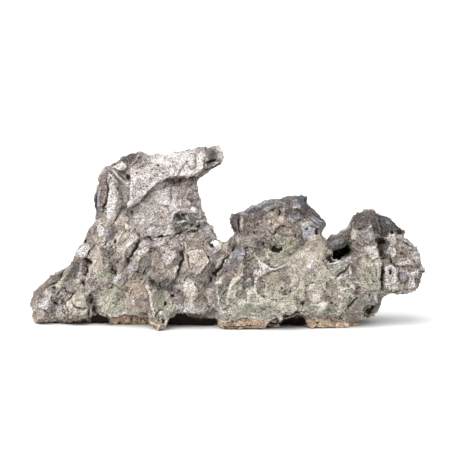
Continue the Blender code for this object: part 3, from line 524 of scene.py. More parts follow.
    Spot("umber", 0.40, (178, 239), (9, 3.4), 0.0, -5),
    Spot("umber", 0.60, (124, 270), (5, 7), 0.0, 30),
    Spot("dark_slate", 0.50, (72, 272), (11, 6), 0.0, 50),
    Spot("umber", 0.45, (48, 283), (14, 4), 0.0, 40),
    Spot("umber", 0.60, (40, 298), (6, 6)),
    Spot("umber", 0.45, (66, 287), (8, 4), 0.0, 30),
    Spot("umber", 0.60, (224, 257), (5, 8), 0.0, 30),
    Spot("dark_moss", 0.55, (233, 245), (6, 6)),
    Spot("dark_moss", 0.48, (223, 303), (9, 8)),
    Spot("umber", 0.60, (224, 317), (6, 4)),
    Spot("dark_slate", 0.50, (253, 218), (12, 4), 0.0, 15),
    Spot("dark_slate", 0.45, (283, 206), (16, 4), 0.0, 12),
    Spot("umber", 0.50, (281, 229), (9, 4)),
    Spot("dark_slate", 0.55, (313, 214), (12, 5), 0.0, -42),
    Spot("umber", 0.35, (258, 256), (9, 5)),
    Spot("olive", 0.40, (287, 258), (8, 8)),
    Spot("olive", 0.60, (285, 298), (7, 5)),
    Spot("dark_slate", 0.50, (360, 219), (9, 8), 0.0, 20),
    Spot("umber", 0.42, (362, 242), (10, 12)),
    Spot("umber", 0.30, (362, 262), (10, 14)),
    Spot("umber", 0.50, (408, 239), (9, 5), 0.0, -40),
    Spot("umber", 0.30, (396, 289), (9, 4)),
    Spot("slate", 0.50, (358, 305), (9, 5), 0.0, 20),
    Spot("umber", 0.60, (328, 258), (3, 3), -0.4),
    Spot("umber", 0.45, (335, 317), (9, 3)),
    Spot("umber", 0.45, (142, 166), (9, 6), 0.0, 30),
    Spot("umber", 0.40, (195, 167), (6, 5)),
    Spot("umber", 0.50, (214, 167), (6, 3)),
    Spot("umber", 0.45, (165, 226), (5, 5)),
    Spot("umber", 0.40, (145, 226), (5, 4)),
    Spot("umber", 0.45, (125, 278), (5, 5)),
    Spot("umber", 0.40, (225, 273), (5, 5)),
    Spot("umber", 0.40, (255, 283), (4, 7)),
    Spot("umber", 0.40, (236, 309), (6, 5)),
    Spot("olive", 0.45, (286, 267), (6, 4)),
    Spot("dark_moss", 0.45, (336, 256), (6, 3)),
    Spot("umber", 0.40, (355, 277), (6, 5)),
    Spot("umber", 0.40, (413, 276), (5, 6)),
    Spot("dark_slate", 0.70, (154, 317), (5, 5)),
    Spot("umber", 0.50, (415, 257), (6, 6)),
    Spot("umber", 0.35, (394, 279), (6, 7)),
    Spot("umber", 0.50, (383, 297), (6, 6)),
    Spot("dark_moss", 0.35, (374, 287), (6, 6)),
    Spot("umber", 0.40, (354, 267), (4, 5)),
    Spot("umber", 0.50, (349, 307), (9, 5)),
    Spot("dark_slate", 0.50, (275, 208), (8, 4), 0.0, 15),
    Spot("dark_slate", 0.40, (300, 217), (12, 4), 0.0, -10),
    Spot("umber", 0.45, (270, 228), (9, 5)),
    Spot("umber", 0.45, (294, 227), (9, 5)),
    Spot("olive", 0.45, (294, 248), (6, 9)),
    Spot("umber", 0.40, (253, 257), (5, 6)),
    Spot("dark_moss", 0.50, (234, 248), (5, 5)),
    Spot("dark_moss", 0.45, (284, 267), (6, 4)),
    Spot("umber", 0.40, (325, 297), (4, 6)),
    Spot("umber", 0.45, (324, 317), (7, 4)),
    Spot("umber", 0.45, (214, 297), (5, 6)),
    Spot("umber", 0.40, (146, 297), (6, 6)),
    Spot("olive", 0.40, (160, 297), (7, 5)),
    Spot("umber", 0.45, (105, 287), (6, 4)),
    Spot("dark_slate", 0.55, (58, 276), (9, 4), 0.0, 40),
    Spot("umber", 0.60, (73, 258), (7, 6), 0.0, 50),
    Spot("dark_slate", 0.45, (79, 288), (9, 6), 0.0, 30),
    Spot("umber", 0.40, (195, 268), (5, 5)),
    Spot("umber", 0.55, (185, 209), (7, 5)),
    Spot("umber", 0.40, (195, 198), (6, 5)),
    Spot("umber", 0.35, (155, 188), (6, 4), 0.0, 20),
    Spot("umber", 0.40, (155, 167), (6, 4), 0.0, 20),
    Spot("umber", 0.45, (115, 228), (5, 5)),
    # pale patches laid over the plates
    Spot("cream", 0.65, (126, 168), (4, 4)),
    # painted light, to lift the shade under the plate's overhang
    Spot("chalk", 0.30, (165, 186), (9, 3.6), 0.4, 20),
    Spot("cream", 0.55, (133, 207), (5, 4)),
    Spot("cream", 0.40, (189, 228), (8, 3)),
    Spot("chalk", 0.35, (205, 230), (6, 6)),
    Spot("cream", 0.40, (134, 246), (4, 5)),
    Spot("cream", 0.40, (155, 260), (5, 8)),
    Spot("chalk", 0.40, (183, 280), (6, 4)),
    Spot("cream", 0.60, (203, 277), (5, 5)),
    Spot("cream", 0.40, (176, 288), (6, 3)),
    Spot("cream", 0.45, (253, 237), (4, 5)),
    Spot("cream", 0.45, (292, 236), (6, 4)),
    Spot("cream", 0.50, (322, 243), (5, 6)),
    Spot("cream", 0.62, (303, 297), (5, 5)),
    Spot("cream", 0.45, (276, 278), (10, 5)),
    Spot("cream", 0.40, (275, 305), (7, 3)),
    Spot("slate", 0.70, (336, 247), (6, 3), 0.0, 20),
    # painted light, to lift the shade under the plate's overhang
    Spot("chalk", 0.32, (160, 185), (11, 3.2), 0.3, 26),
    Spot("chalk", 0.65, (141, 198), (9, 3.4), 0.3, 36),
    Spot("chalk", 0.60, (119, 166.5), (6, 3.6), 0.3, 10),
    Spot("chalk", 0.50, (114, 205), (4, 11)),
    Spot("chalk", 0.55, (134, 238), (4, 5), 0.5, 30),
    Spot("cream", 0.35, (206, 251), (6, 9)),
    Spot("cream", 0.62, (186, 277), (6, 4), 0.5),
    Spot("cream", 0.45, (114, 259), (4, 7), 0.3),
    Spot("cream", 0.58, (134, 286), (8, 4), 0.0, -20),
    Spot("cream", 0.55, (133, 312), (12, 5)),
    Spot("chalk", 0.45, (181, 307), (7, 3.4), 0.5),
    Spot("chalk", 0.55, (204, 308), (5, 5), 0.3),
    Spot("cream", 0.70, (323, 239), (3.4, 7), 0.4),
    Spot("slate_moss", 0.35, (333, 250), (5, 2.4), 0.0, 15),
    Spot("cream", 0.66, (308, 266), (8, 6), 0.3, 30),
    Spot("cream", 0.55, (294, 289), (6, 5), 0.5),
    Spot("cream", 0.40, (267, 287), (6, 6)),
    Spot("stone", 0.60, (387, 249), (3, 5)),
    Spot("cream", 0.45, (305, 277), (6, 5)),
    Spot("cream", 0.50, (65, 298), (5, 5)),
    Spot("cream", 0.35, (116, 267), (5, 5)),
    Spot("chalk", 0.40, (190, 286), (8, 7)),
    Spot("ice", 0.55, (238, 254), (3, 7), 0.0, 35),
    Spot("stone", 0.40, (392, 246), (6, 11)),
    Spot("chalk", 0.45, (386, 248), (3.4, 5), 0.3),
    Spot("chalk", 0.50, (314, 267), (5, 4), 0.3),
    Spot("chalk", 0.40, (122, 166), (4, 3)),
    Spot("cream", 0.35, (113, 199), (4, 13)),
    Spot("umber", 0.40, (172, 222), (4, 5)),
    Spot("umber", 0.50, (156, 318), (4, 6)),
    Spot("umber", 0.40, (125, 279), (5, 4)),
    Spot("umber", 0.35, (282, 226), (6, 4)),
    # more painted shade in the cave
    Spot("umber", 0.90, (328, 257), (6, 4.4), -0.4, 15),
    Spot("soot", 0.85, (331, 257.5), (6, 3.6), -0.6, 20),
    Spot("soot", 1.00, (337, 259.3), (6, 2.4), -0.5, 8),
    Spot("chalk", 0.60, (310, 262), (3, 4.4), 0.3, -20),
    Spot("chalk", 0.55, (311.5, 291), (3, 6), 0.4, 10),
    Spot("umber", 0.50, (323.5, 298), (3, 5), -0.4, 20),
    Spot("umber", 0.45, (143, 158), (9, 5), 0.0, 10),
    # small pits, painted dark as shade
    *(Spot("soot", 0.80, place, (1.6, 1.3), -0.6, 20) for place in (
        (139, 158), (146, 160), (143, 166), (152, 170), (158, 165), (150, 178), (163, 173), (170, 166),
        (137, 172), (141, 188), (147, 186), (269, 274.6), (274, 272), (282, 287.7), (284.5, 293.6),
        (290.4, 291.2), (307, 285.3), (313, 283), (303.5, 303), (335.5, 279.4), (337.8, 277),
        (340, 298.4), (332, 303), (348.5, 305.5), (326, 291.2), (328.4, 297))),
    Spot("crust", 0.70, (118, 323), (14, 2.0), 0.0, -2),
    Spot("crust", 0.70, (144, 324), (10, 2.0), 0.0, -2),
    Spot("crust", 0.70, (245, 325), (22, 2.0)),
    Spot("crust", 0.50, (322, 325), (17, 2.0)),
)

LINES = (
    # the left edge of the cliff
    Line("ice", 0.75, 1.5, "103,169.5 107,168 112,166.3"),
    Line("umber", 0.90, 1.6,
         "111,167.5 114,164.5 118,162 122,160.8 126.5,162.4 128,167 126,171 121,172.5 116,170.5"
         " 112,169", -0.9),
    Line("soot", 0.80, 1.6, "99,190.5 104,189.5 109,190", -1.0),
    Line("soot", 0.85, 1.7, "108,171 106,182 108,189 107,197 104,206 102,214 98,219", -2.0),
    Line("soot", 0.80, 1.4, "96.5,191 96,200 96.5,212", -0.6),
    Line("soot", 0.80, 1.5, "95,220 92,224 90,226", -1.6),
    Line("umber", 0.80, 1.6, "110,171 117,178 122,184", -1.4),
    Line("umber", 0.80, 1.6, "116,171.5 122,176 126,182", -1.4),
    Line("chalk", 0.80, 1.5, "112,170 119,177 125,182.5", 1.0),
    Line("chalk", 0.60, 1.4, "108,172 113,178 118,184", 0.8),
    Line("umber", 0.80, 1.6, "129,168 129.5,180 129,190 128,201", -1.4),
    Line("umber", 0.70, 1.4, "118,184 120,191 122,201", -1.0),
    Line("soot", 0.60, 1.4, "125,187 126,194 125.5,200", -0.8),
    Line("soot", 0.85, 1.8, "121,208 118,217 113,224", -1.8),
    # painted shadow in umber under the plate's lower edge
    Line("umber", 1.00, 2.0,
         "127.5,209.5 133,206.8 138,204.6 142,200.5 145,197 149,192.5 153,188.6 157,184.8 161.5,181.8"
         " 167,179", -1.4),
    Line("umber", 0.80, 2.0, "168,179.5 174,179 182,180 190,179.5 198,177.5 203,173.5", -0.6),
    Line("soot", 0.80, 1.5, "183,178.5 190,178 196,177.5 200,176", -0.6),
    Line("soot", 0.80, 1.6, "172,178 174,181 174,184.5", -0.8),
    # the face of the cliff
    Line("umber", 0.60, 1.3, "180,184 179,192 177,200 179,208", -0.8),
    Line("umber", 0.60, 1.3, "186,186 184,194 182,201 184,207", -0.8),
    Line("umber", 0.50, 1.3, "171,183 172,195 170,205", -0.8),
    Line("chalk", 0.60, 1.4, "174,188 173,198 175,208", 0.5),
    Line("umber", 0.70, 1.3, "156,204.5 162,205 167,207 170,212 169.5,217", -1.0),
    Line("umber", 0.50, 1.2, "151,206 154,212 158,217", -0.8),
    Line("umber", 0.50, 1.3, "146,208 144,214 147,220", -0.8),
    Line("umber", 0.45, 1.3, "160,219 158,226 161,232", -0.6),
    Line("umber", 0.60, 1.3, "191,202 195,206 200,208 202,214", -1.0),
    Line("chalk", 0.80, 1.4, "171,216 175,212 180,209.5 187,209", 0.8),
    Line("chalk", 0.65, 1.2, "176,223 182,221.5 190,220.5", 0.6),
    Line("chalk", 0.65, 1.2, "197,221.5 203,221 207,221", 0.6),
    Line("umber", 0.75, 1.4, "191.5,194 193,190.5 197,190 201,192.5 201,197 198,200.5", -0.8),
    Line("umber", 0.75, 1.4, "190,208 191,205 195,204.5 199,206.5 199,211 196,214.5 191.5,213.5", -0.8),
    Line("umber", 0.65, 1.3, "183.5,203 185,199 189,198.5 192,202 191,207 187,208", -0.8),
    Line("soot", 0.85, 1.4, "174,221 180,218 186,219.5 190,224", -0.8),
    Line("soot", 0.85, 1.4, "174,234 180,234.5 186,229.5 191,228", -0.8),
    Line("soot", 0.85, 1.4, "156,237.5 162,236.5 167,236 171,235", -1.4),
    Line("soot", 0.85, 1.5, "171,236.5 176,234 181,233 184,234.5", -1.4),
    Line("soot", 0.80, 1.4, "184,235 189,232.5 196,231.5 203,229.5", -1.2),
    Line("umber", 0.60, 1.4, "120,214 128,217 135,219 142,219", -0.8),
    Line("umber", 0.50, 1.4, "142,222 152,225 163,226 171,223", -0.8),
    Line("umber", 0.55, 1.4, "105,236 101,241 96,246", -0.8),
    # the broken end of the plate
    Line("umber", 0.90, 1.6, "195,154.5 195.5,160 196,165 194,168 190.5,170 189,167", -1.2),
    Line("umber", 0.75, 1.5, "188,155.5 186.5,160 187,163 190,167.5 192,170.5", -1.0),
    Line("umber", 0.95, 1.8, "187,162.5 183,166 180,171 178,176", -1.4),
    Line("umber", 0.55, 1.2, "202,155 203,160 202,165", -0.6),
    Line("soot", 0.80, 1.8, "205,157 204.5,163 204,170", -1.4),
    Line("soot", 0.95, 1.7, "203,160.5 206,163 211,161.5 216,160 219,161 222,160", -1.4),
    Line("soot", 0.95, 2.0, "204,166 206,169.5 211,168.5 217,166.5 221,162.5", -1.8),
    Line("soot", 0.60, 1.3, "214,145.5 216.5,150 217,156 220,160", -0.6),
    # the slope and the toe
    Line("soot", 0.80, 1.7, "93,247 90,251 88,255 86,259", -1.6),
    Line("soot", 0.95, 1.6, "82.5,279 83.5,283 85,286", -2.0),
    Line("soot", 1.00, 2.0, "83,259.5 86,260 89,262 91.5,263", -1.2),
    Line("soot", 0.95, 1.8, "84,266 86,265 87.5,268 87,272 84.5,275", -1.2),
    Line("soot", 1.00, 2.6, "72,262 67,266 62,271 60,276 58,279", -1.8),
    Line("soot", 1.00, 2.2, "58,279 55,282 48,285 45,288 41,292", -1.4),
    Line("ice", 0.80, 1.8, "81,263 80,270 79,276 80,281", 0.4),
    Line("ice", 0.85, 2.4, "41,302 46,299 51,296 53,293", 0.4),
    Line("pebble", 0.80, 2.0, "33,300 38,293 45,287 53,281", 0.4),
    Line("soot", 0.70, 1.4, "49,292 54,292.5 58,290", -0.8),
    Line("soot", 0.75, 1.5, "50,301 57,299.5 62,296", -1.0),
    Line("soot", 0.65, 1.3, "39,308.5 45,310.5 49,314 49,319", -0.8),
    Line("soot", 0.85, 1.8, "65,303 70,298 73,294 75,291", -1.6),
    Line("soot", 0.95, 1.4, "71.5,298 72,303 76,307 80,308.5 85,309", -1.0),
    Line("soot", 0.75, 1.4, "61,304 63,310 60.5,318", -1.0),
    Line("soot", 0.75, 1.4, "67,307 68.5,313 67,319", -1.0),
    Line("soot", 0.80, 1.4, "89,309 90,315 89,321", -1.0),
    Line("soot", 0.75, 1.3, "94,304 94,310 95,315", -1.0),
    Line("chalk", 0.75, 1.3, "91.8,305 91.5,312 92,319", 0.6),
    Line("chalk", 0.60, 1.3, "70,310 77,312 85,311", 0.5),
    Line("umber", 0.60, 1.4, "70,315 78,317 87,316", -0.6),
    Line("soot", 0.65, 1.4, "93,283 95,288 101,290 101,296", -1.0),
    Line("soot", 1.00, 1.6, "44,323.5 60,323.8 75,323.5 92,323.5"),
    Line("umber", 0.60, 1.4, "112,250 111.5,258 112,267", -0.8),
    Line("soot", 0.75, 1.4, "113.5,261 112,267 113,270.5 117,271", -1.2),
    Line("umber", 0.55, 1.4, "104,255 103,264 104,272", -0.8),
    Line("soot", 0.65, 1.4, "104,285.5 109,283 114,284 118,287", -0.8),
    Line("umber", 0.85, 1.4, "105,286 110,284 115,286 120,289.5 126,291.5 132,293.5", -0.8),
    Line("chalk", 0.80, 1.5,
         "100,314 104,315.5 107,314 112,316 118,315 124,313 130,314 137,315 144,317 153,316", 0.9),
    # painted shadow in umber under the apron's wavy edge
    Line("umber", 0.80, 1.3,
         "101,316.5 106,316.5 112,318.3 118,317.3 124,315.5 130,316.3 137,317.5 144,319.5 153,318.5", -0.3),
    # the diagonal crease and the lower middle
    Line("soot", 0.90, 2.6, "142,238.5 140,240 136,247 132,254 127,262 122,270", -2.6),
    Line("soot", 0.80, 1.6, "142,239 147,236.5 151,237 152,240 156,241", -1.2),
    Line("soot", 0.70, 1.8, "131,278 127,283 123,287", -1.6),
    Line("soot", 0.65, 1.3, "136,255.5 140,256 142.5,260 141,263", -1.0),
    Line("umber", 0.75, 1.5, "150,249 157,249 161,246 165,244 170,241", -1.2),
    Line("umber", 0.70, 1.5, "162,251 160,256 157,263", -1.0),
    Line("umber", 0.55, 1.3, "150,252 151,262 149,272", -0.8),
    Line("umber", 0.70, 1.5, "177,261 171,266 166,271 160,277", -1.0),
    Line("soot", 0.90, 2.0, "184,240 184,247 181,252 183,258 180,266 178,275 175,282", -1.8),
    Line("soot", 0.95, 1.7, "204,241 204.5,249 209.5,257 210.5,262 206,268 199,276 193,274.5", -1.6),
    Line("soot", 0.75, 1.4, "187,251 191,249.5 197,248 203,248", -0.8),
    Line("soot", 0.60, 1.7, "215,273 212,278 208,284 205,290", -1.0),
    Line("soot", 0.75, 1.6, "209,275 212,279 211,284", -0.8),
    Line("soot", 1.00, 2.8, "236,243 232,250 226,258 222,264 217,270", -1.4),
    Line("soot", 0.65, 1.3, "187.5,254 187.5,260 190,268 193,274", -0.8),
    Line("chalk", 0.85, 1.5, "223,255 220,261 216,268", 0.8),
    Line("umber", 0.75, 1.6, "236,262 238,265 235,268 230,270", -1.0),
    Line("soot", 0.60, 1.3, "240,250 239,256 234,262", -0.5),
    Line("soot", 1.00, 1.3, "195,284 196,286 198,287.8", -1.2),
    Line("umber", 0.75, 1.6, "180.5,289 184,297 182,304", -1.0),
    Line("umber", 0.65, 1.4, "199,297 205,298.5 209,294", -0.8),
    Line("umber", 0.65, 1.4, "204,289 206,295 205,303", -0.8),
    Line("soot", 0.80, 1.8, "160,281 160,287 163,291", -1.0),
    Line("soot", 0.80, 1.8, "171,281 173,287 171,294", -1.0),
    Line("soot", 0.70, 1.6, "150,280 155,285 158,290", -1.0),
    Line("cream", 0.85, 1.8, "144,276 147.5,281 148,287 150.5,292 151.5,300 152,308 154,315 155,321", 1.0),
    Line("umber", 0.80, 1.5, "143,284 145.5,290 148,297 149,304 150,312", -0.8),
    Line("soot", 0.75, 1.4, "155,321 156,314 160,309.5 164,308.5", -1.0),
    Line("chalk", 0.60, 1.4, "216,282 217,290 219,300 217,306", 0.6),
    Line("cream", 0.90, 2.0,
         "237,276 241,270 242.5,263 243.5,267 242,274 237,280 231,285 229.5,290 228.5,298 227,303", 1.6),
    Line("soot", 0.65, 1.5, "244.5,277 243.5,285 244.5,291", -1.0),
    Line("soot", 0.80, 1.5, "247,275 251,276 253,280 252,284 249,287", -1.0),
    Line("umber", 0.85, 1.5, "239,296 242.5,294 246,296.5 242.5,299 239,296", -1.0),
    Line("soot", 0.70, 1.5, "246,248 246,258 243.5,264", -1.2),
    # the second peak
    Line("soot", 1.00, 1.8, "239.3,216 238.5,224 239,233", -1.6),
    Line("cream", 0.60, 1.8, "242,217 241.5,223 242,230", 0.4),
    # painted sheen in pale blue along the slate roof's rim
    Line("ice", 0.60, 1.4, "240,213.5 250,208 262,203.5 272,201"),
    Line("soot", 0.70, 1.5, "262,214 268,212 275,208 283,206", -1.0),
    Line("soot", 0.80, 1.4, "276,207 280,211 279,215", -1.0),
    Line("umber", 0.85, 3.2, "287,199 290.5,206 288,213 286,219", -1.0),
    Line("ice", 0.60, 1.4, "248,235 248.5,239 248,243"),
    Line("soot", 0.90, 1.5, "268,229 270.5,232 273,234.5 276,231 279,227 281,225", -1.0),
    Line("umber", 0.90, 1.6, "277,229 279,234 283,236.5 291,236 296,233", -1.0),
    Line("umber", 0.70, 1.3, "271.5,235 271.5,241", -0.8),
    Line("soot", 0.65, 1.5, "290,211 297,211 303,215 306,221", -0.8),
    Line("ice", 0.80, 1.3, "310,217.5 315,221 320,224.5", 0.3),
    Line("ice", 0.75, 1.2, "313,216 318,219.5 323,222.5", 0.3),
    Line("ice", 0.70, 1.2, "308,219.5 313,224 319,227", 0.3),
    Line("soot", 0.75, 1.4, "302.5,226 301,232 302,239", -1.0),
    Line("soot", 0.80, 1.4, "325,228.5 318,228.8 311,226.5 306,222", -0.4),
    Line("umber", 0.65, 1.6, "322,227 321,232 324,239", -0.8),
    Line("dark_moss", 0.85, 2.6, "266,262 270,266 276,266.5 283,263", -1.2),
    Line("chalk", 0.52, 1.4,
         "254,254 258,260 262,264 266,266 271,269 276,269 281,267 287,265 290.5,262 291,259", 0.8),
    Line("chalk", 0.45, 1.4, "263,273 257,277 254.5,282 254.5,290 257,296 262,298.5 270,300", 0.8),
    Line("umber", 0.80, 2.4, "264,275 270,272.5 278,270.5 285,268 290,266", -1.0),
    Line("soot", 0.60, 1.6, "264,276 271,273 279,271.5", -0.8),
    Line("soot", 0.60, 1.4, "288,267 291.5,266 293,270 290,276", -0.8),
    Line("chalk", 0.65, 1.4, "264,280 267,285 266,291", 0.6),
    Line("umber", 0.60, 1.4, "276,283 281,279.5 286,282 284,288", -0.8),
    Line("umber", 0.60, 1.4, "278,291 285,292.5 288,290", -0.8),
    Line("cream", 0.50, 1.3, "274,300 280,303 284,300 285,296 281,297", 0.5),
    Line("soot", 0.60, 1.4, "299,299 303,304 302,311", -0.8),
    Line("chalk", 0.55, 1.4, "240,305 250,302.5 262,303.5", 0.4),
    Line("umber", 0.60, 1.4, "243,314 254,316 264,315", -0.6),
    Line("soot", 0.80, 1.4, "216,326 230,326.8 248,326.5 264,326.3", -0.8),
    # the egg and its neighbours
    Line("soot", 0.90, 1.5, "309,283.8 312.5,282.5 317,282.8", -1.0),
    Line("umber", 0.75, 1.5, "308.5,285 306,289 306.5,294 307,299", -0.6),
    Line("umber", 0.60, 1.6, "322,287 325,293 327.5,298 324,303", -0.6),
    Line("chalk", 0.58, 1.5, "306,302.5 311,304.5 317,305 323,303.5 331,302", 0.6),
    Line("umber", 0.60, 1.5, "312,264 318,268.5 323,269", -0.8),
    Line("umber", 0.55, 1.4, "303,255 304,262 301,270", -0.6),
    Line("cream", 0.80, 2.0, "310,240 309,248 311,256", 0.6),
    Line("umber", 0.60, 1.4, "318,250 319,257 316,262", -0.8),
    Line("umber", 0.55, 1.4, "296,270 300,277 298,285", -0.8),
    Line("umber", 0.55, 1.4, "326,277 328,285 326,292", -0.8),
    # the saddle and the far peak
    Line("soot", 0.70, 2.6, "331,259.5 337,257 342,252 347,248", -0.8),
    Line("chalk", 0.90, 1.5, "328,263.5 334,262.5 338,262 343,259 350,256.5", 0.9),
    Line("soot", 0.95, 1.8, "350,262.5 347,267.5 344,271 340,273 336,277 335,281", -1.6),
    Line("umber", 0.85, 2.0, "351,263 354,268 355,274", -1.4),
    Line("soot", 0.80, 1.6, "379,217 380,223 381.5,229 383,238", -0.8),
    Line("soot", 0.75, 1.4, "371,221 374,229 376,238", -0.6),
    Line("ice", 0.35, 1.4, "375,216 379,223 380,232", 0.2),
    Line("soot", 0.90, 1.6, "396,231 401,229.8 405,230", -1.0),
    Line("soot", 0.80, 1.6, "395.5,231.5 396,237 399,241", -1.0),
    Line("soot", 0.50, 1.6, "378,246 380,252 380,258", -0.8),
    Line("umber", 0.70, 1.6, "357.5,232 357.5,241 359,249", -0.8),
    Line("umber", 0.60, 1.4, "364,243 369,244.5 374,244", -0.6),
    Line("umber", 0.60, 1.4, "362,252 368,255 373,254", -0.6),
    Line("soot", 0.65, 1.4, "371,261 377,267 377,275 378,286", -0.8),
    Line("cream", 0.90, 1.5, "371,260.5 376,262 378.3,266 379,272 378,278 380,285", 0.7),
    Line("chalk", 0.80, 1.5, "381,264 381.5,272 380.5,279 381.5,287", 0.5),
    Line("soot", 0.90, 1.6, "383.8,262 383.5,270 382.8,280 383.3,290", -1.2),
    Line("umber", 0.65, 1.5, "362,272 366,280 371,288", -0.8),
    Line("umber", 0.55, 1.4, "370,270 373,277 375,284", -0.6),
    Line("moss", 0.80, 1.6, "366,270 369,278 374,287", 0.6),
    Line("umber", 0.65, 1.4, "336,278 340,274 344,274", -0.8),
    Line("chalk", 0.70, 1.4, "334,276.5 337,279.5 342,278", 0.6),
    Line("umber", 0.75, 1.5, "347,277 352,281 357,285 360,290", -1.0),
    Line("chalk", 0.65, 1.4, "345,280 350,284.5 355,289", 0.6),
    Line("umber", 0.75, 1.5, "355,291 360,294 361,299", -1.0),
    Line("soot", 0.60, 1.4, "332,302 336,306 340,308", -0.8),
    Line("umber", 0.65, 1.4, "337,296 341,294.5 344,297.5 342,301.5 337,300.5 337,296", -0.8),
    Line("umber", 0.55, 1.4, "330,287 334,291 332,297", -0.6),
    Line("soot", 0.60, 1.4, "357,276 360,281 362,286", -0.8),
    # the knob
    Line("soot", 0.85, 1.6, "401,240.5 405,243 409,245.5 414,247.5", -1.0),
    Line("ice", 0.85, 1.7, "402,238.5 409,242.5 417,247", 0.5),
    Line("soot", 0.65, 1.3, "408,248.5 414,250.5 420,251.5", -0.8),
    Line("umber", 0.70, 1.5, "397,236 397.5,242 396,247", -0.8),
    Line("umber", 0.60, 1.4, "386,239 388,243 387,248", -0.6),
    Line("chalk", 0.75, 1.4, "389,247 393.5,247.5 395.5,252 393,256", 0.6),
    Line("soot", 0.90, 2.4, "389,254.5 391,262 394.5,264.5", -1.6),
    Line("soot", 0.62, 1.5, "388,262.5 394,265.5 400,267 407,266.3 414,265.3 421,264.3", -0.8),
    Line("chalk", 0.70, 1.3, "397,263.5 404,264 412,262.5", 0.5),
    Line("soot", 0.80, 1.8, "408,278 404.5,282 405,287 407,289", -1.0),
    Line("soot", 0.70, 1.5, "400,270 398.5,276 400,284 400,290", -0.8),
    Line("chalk", 0.70, 1.4, "386.5,267 387,275 386.5,285", 0.4),
    Line("chalk", 0.75, 1.4, "394,268 395,277 393.5,286", 0.4),
    Line("soot", 0.75, 1.4, "412.5,274 411,281 411.5,287", -0.8),
    Line("soot", 0.80, 1.5, "416.5,273 416,280 416.5,287.5", -0.8),
    Line("umber", 0.70, 1.4, "421,272 419,280 418.5,288", -0.6),
    Line("chalk", 0.80, 1.4, "408,273 413,273.5 418,270.5", 0.5),
    Line("soot", 0.75, 1.5, "385,291.3 392,292.4 400,291.4 407,289.6", -0.8),
    Line("soot", 0.70, 1.4, "409,288.5 414,289.5 418,290", -0.8),
    # the right leg and foot
    Line("soot", 0.80, 1.5, "372.5,294 372.5,299 372,304", -1.0),
    Line("soot", 0.75, 1.4, "369,291 369.5,295 370,299", -0.8),
    Line("soot", 0.60, 1.4, "380,293 380.5,298 378,303", -0.6),
    Line("soot", 0.80, 1.5, "359,297 356,299 352,303 348.5,307.5 346,311", -1.2),
    Line("umber", 0.60, 1.4, "347,314 354,316 359,313", -0.8),
)

# ---------------------------------------------------------------- what the colours do to the surface

# The blackest colour is painted shade in hollows, and dark flecks. Umber is stains, and in a few places
# painted shade. The pale blue is pale stone, and on the slate it is painted sheen.
PALETTE = ("stone", "cream", "chalk", "pebble", "ice", "slate", "dark_slate", "slate_moss", "umber",
           "soot", "moss", "olive", "dark_moss", "crust", "ochre")

# How far a drawn feature smooths the grown relief under it
CALM = {"dark_slate": 0.6, "pebble": 0.6, "slate": 0.6, "ice": 0.5, "soot": 0.4, "chalk": 0.65,
        "moss": 0.35, "cream": 0.5, "umber": 0.3, "ochre": 0.3}

# How much fine speckle lies on each colour, and on stone with nothing drawn on it
SPECKLE = {"stone": 0.7, "chalk": 1.0, "cream": 0.5, "pebble": 0.4, "ice": 0.35, "slate": 0.35,
           "dark_slate": 0.35, "slate_moss": 0.45, "umber": 0.7, "moss": 0.6, "olive": 0.7,
           "dark_moss": 0.8, "crust": 0.7, "ochre": 0.7}
PLAIN_SPECKLE = 0.7

# Stains of the large plates at the sides and the back: colour, lowest and highest plate number, and share
PLATE_STAINS = (("chalk", 0.84, 0.97, 0.42), ("cream", 0.70, 0.83, 0.42), ("slate_moss", 0.58, 0.71, 0.42),
                ("moss", 0.48, 0.61, 0.42), ("umber", -1.0, 0.22, 0.50), ("dark_slate", 0.22, 0.32, 0.45))


# ---------------------------------------------------------------- noise


def hashed(across, deep, up, seed):
    """A pseudo-random 32-bit number for each whole-number cell."""
    bits = across.astype(np.uint32) * np.uint32(0x8DA6B343)
    bits ^= deep.astype(np.uint32) * np.uint32(0xD8163841)
    bits ^= up.astype(np.uint32) * np.uint32(0xCB1AB31F)
    bits += np.uint32(seed * 7919 + 101)
    bits ^= bits >> np.uint32(15)
    bits *= np.uint32(0x2C1B3C6D)
    bits ^= bits >> np.uint32(12)
    bits *= np.uint32(0x297A2D39)
    return bits ^ (bits >> np.uint32(15))


# The twelve slopes towards the edges of a cube, four of them twice, so that four bits pick one
SLOPES = np.array([(1, 1, 0), (-1, 1, 0), (1, -1, 0), (-1, -1, 0),
                   (1, 0, 1), (-1, 0, 1), (1, 0, -1), (-1, 0, -1),
                   (0, 1, 1), (0, -1, 1), (0, 1, -1), (0, -1, -1),
                   (1, 1, 0), (-1, 1, 0), (0, -1, 1), (0, -1, -1)], float)


def noise(points, seed):
    """Gradient noise, about -1 to 1: slopes at each cell's corners, blended by 6t^5 - 15t^4 + 10t^3."""
    cell = np.floor(points)
    part = points - cell
    cell = cell.astype(np.int64)
    fade = part * part * part * (part * (part * 6 - 15) + 10)
    total = np.zeros(len(points))
    for dx in (0, 1):
        wx = fade[:, 0] if dx else 1 - fade[:, 0]
        for dy in (0, 1):
            wy = fade[:, 1] if dy else 1 - fade[:, 1]
            for dz in (0, 1):
                wz = fade[:, 2] if dz else 1 - fade[:, 2]
                bits = hashed(cell[:, 0] + dx, cell[:, 1] + dy, cell[:, 2] + dz, seed)
                slope = SLOPES[bits & np.uint32(15)]
                total += wx * wy * wz * ((part - (dx, dy, dz)) * slope).sum(axis=1)
    return total


def layered(points, octaves, seed):
    """Noise at several sizes, each about half as large and half as strong as the one before."""
    total = np.zeros(len(points))
    for octave in range(octaves):
        total += 0.5 ** octave * noise(points * 2.03 ** octave + 17.3 * octave, seed + octave)
    return total


def vectors(points, seed):
    """Three noises side by side, for bending other fields."""
    return np.stack([noise(points, seed + axis) for axis in range(3)], axis=1)


